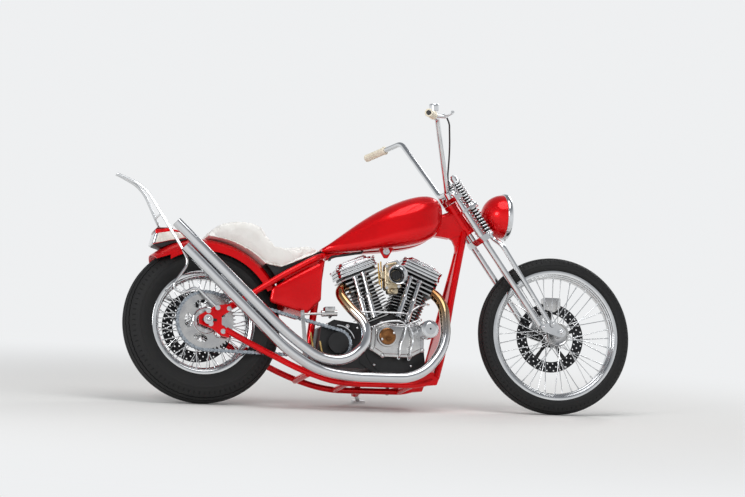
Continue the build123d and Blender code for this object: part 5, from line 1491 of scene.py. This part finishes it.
def make_lights(stage):
    """A pale sky that lights softly, and three soft boxes: over the machine, at its side and behind."""
    world = bpy.data.worlds.new("Studio")
    bpy.context.scene.world = world
    world.use_nodes = True
    tree = world.node_tree
    tree.nodes.clear()
    plain = add_node(tree, "ShaderNodeBackground",
                     inputs={"Color": (*stage.sky_colour, 1.0), "Strength": stage.sky_strength})
    direction = add_node(tree, "ShaderNodeSeparateXYZ",
                         links={0: tree.nodes.new("ShaderNodeTexCoord").outputs["Generated"]})
    height = add_node(tree, "ShaderNodeMapRange", {"interpolation_type": "SMOOTHSTEP"},
                      {"From Min": 0.06, "From Max": 0.75}, {"Value": direction.outputs["Z"]})
    shade = add_node(tree, "ShaderNodeMix", {"data_type": "RGBA"},
                     {6: (*stage.backdrop_colour, 1.0), 7: (*stage.zenith_colour, 1.0)},
                     {0: height.outputs[0]})
    pale = add_node(tree, "ShaderNodeBackground", inputs={"Strength": 1.0},
                    links={"Color": shade.outputs[2]})
    out = tree.nodes.new("ShaderNodeOutputWorld")
    tree.links.new(pale_for_sight(tree, plain.outputs[0], pale.outputs[0]), out.inputs["Surface"])
    # name, place, aim, size, power
    boxes = [
        ("Top_box", (0.3, -1.2, 3.6), (0.0, 0.0, 0.5), 2.6, stage.top_power),
        ("Side_box", (-3.4, -3.6, 2.4), (-0.2, 0.0, 0.5), 1.8, stage.side_power),
        ("Rear_box", (3.0, 2.6, 2.8), (0.2, 0.0, 0.6), 1.6, stage.rear_power),
    ]
    for name, position, aim, size, power in boxes:
        lamp = bpy.data.lights.new(name, "AREA")
        lamp.shape = "DISK"
        lamp.size = size
        lamp.energy = power
        holder = bpy.data.objects.new(name, lamp)
        holder.location = position
        holder.rotation_euler = (Vector(aim) - Vector(position)).to_track_quat("-Z", "Y").to_euler()
        bpy.context.scene.collection.objects.link(holder)


def make_camera(stage):
    """The photograph's view: a long lens from the machine's right, a little behind, level with the tank."""
    azimuth, elevation, roll = stage.camera_azimuth, stage.camera_elevation, stage.camera_roll
    back = np.array([np.sin(azimuth) * np.cos(elevation), -np.cos(azimuth) * np.cos(elevation),
                     np.sin(elevation)])
    right = np.array([np.cos(azimuth), np.sin(azimuth), 0.0])
    up = np.cross(right, -back)
    rolled_right = right * np.cos(roll) + up * np.sin(roll)
    rolled_up = up * np.cos(roll) - right * np.sin(roll)
    position = np.array(stage.camera_target) + back * stage.camera_distance + SHIFT
    data = bpy.data.cameras.new("Camera")
    data.lens = stage.camera_lens
    data.sensor_width = 36.0
    data.clip_end = 200.0
    camera = bpy.data.objects.new("Camera", data)
    columns = np.stack([rolled_right, rolled_up, back, position], -1)
    camera.matrix_world = Matrix([*columns.tolist(), [0, 0, 0, 1]])
    bpy.context.scene.collection.objects.link(camera)
    bpy.context.scene.camera = camera


class StageSettings(bpy.types.PropertyGroup):
    """The floor, the lights and the camera."""
    floor_size: FloatProperty(name="Floor size", description="Width of the square floor", default=120.0,
                              unit="LENGTH")
    floor_colour: FloatVectorProperty(name="Floor colour", description="Colour of the floor, linear",
                                      default=(0.87, 0.86, 0.84), subtype="COLOR")
    fade_start: FloatProperty(name="Fade start", description="Where the floor starts to fade",
                              default=0.6, unit="LENGTH")
    fade_end: FloatProperty(name="Fade end", description="Where the floor has the backdrop's colour",
                            default=3.8, unit="LENGTH")
    sky_colour: FloatVectorProperty(name="Sky colour", description="Colour of the soft light all round",
                                    default=(0.96, 0.98, 1.0), subtype="COLOR")
    sky_strength: FloatProperty(name="Sky strength", description="Level of the soft light all round",
                                default=0.42)
    backdrop_colour: FloatVectorProperty(name="Backdrop colour",
                                         description="What camera and polished metal see",
                                         default=(0.86, 0.87, 0.88), subtype="COLOR")
    zenith_colour: FloatVectorProperty(name="Zenith colour",
                                       description="What polished metal sees overhead",
                                       default=(0.24, 0.25, 0.27), subtype="COLOR")
    top_power: FloatProperty(name="Top box", description="Power of the soft box over the machine",
                             default=48.0)
    side_power: FloatProperty(name="Side box", description="Power of the soft box at the side",
                              default=62.0)
    rear_power: FloatProperty(name="Rear box", description="Power of the soft box behind", default=44.0)
    camera_azimuth: FloatProperty(name="Azimuth", description="How far the camera stands behind abeam",
                                  default=np.radians(-15.5), subtype="ANGLE")
    camera_elevation: FloatProperty(name="Elevation", description="How far the camera looks down",
                                    default=np.radians(1.4), subtype="ANGLE")
    camera_roll: FloatProperty(name="Roll", description="How far the camera is tilted",
                               default=np.radians(3.05), subtype="ANGLE")
    camera_distance: FloatProperty(name="Distance", description="From the target to the camera",
                                   default=12.57, unit="LENGTH")
    camera_target: FloatVectorProperty(name="Target",
                                       description="Middle of the view, from the rear axle's foot",
                                       default=(0.700, 0.0, 0.6745), unit="LENGTH")
    camera_lens: FloatProperty(name="Lens", description="Focal length", default=3000 / 745 * 36,
                               subtype="DISTANCE_CAMERA")


class CHOPPER_PT_panel(bpy.types.Panel):
    """The machine's pieces, each made by one button"""
    bl_idname = "CHOPPER_PT_panel"
    bl_label = "Chopper"
    bl_space_type = "VIEW_3D"
    bl_region_type = "UI"
    bl_category = "Chopper"

    def draw(self, context):
        for operator in OPERATORS:
            self.layout.operator(operator.bl_idname)


GROUPS = {"chopper_stage": StageSettings, "chopper_wheels": WheelSettings, "chopper_seat": SeatSettings}
OPERATORS = [CHOPPER_OT_finishes, CHOPPER_OT_tyres, CHOPPER_OT_wheels, CHOPPER_OT_discs, CHOPPER_OT_chain,
             CHOPPER_OT_fork, CHOPPER_OT_headlamp, CHOPPER_OT_controls, CHOPPER_OT_heads,
             CHOPPER_OT_carburettor, CHOPPER_OT_cases, CHOPPER_OT_bodywork, CHOPPER_OT_seat,
             CHOPPER_OT_stage]


def register():
    """Adds the settings, the operators and the panel."""
    for group in GROUPS.values():
        bpy.utils.register_class(group)
    for name, group in GROUPS.items():
        setattr(bpy.types.Scene, name, PointerProperty(type=group))
    for operator in OPERATORS:
        bpy.utils.register_class(operator)
    bpy.utils.register_class(CHOPPER_PT_panel)


def unregister():
    """Removes them again."""
    bpy.utils.unregister_class(CHOPPER_PT_panel)
    for operator in reversed(OPERATORS):
        bpy.utils.unregister_class(operator)
    for name, group in GROUPS.items():
        delattr(bpy.types.Scene, name)
        bpy.utils.unregister_class(group)


def main():
    """Makes every piece through its operator."""
    register()
    for operator in OPERATORS:
        family, action = operator.bl_idname.split(".")
        getattr(getattr(bpy.ops, family), action)()


if __name__ == "__main__":
    main()
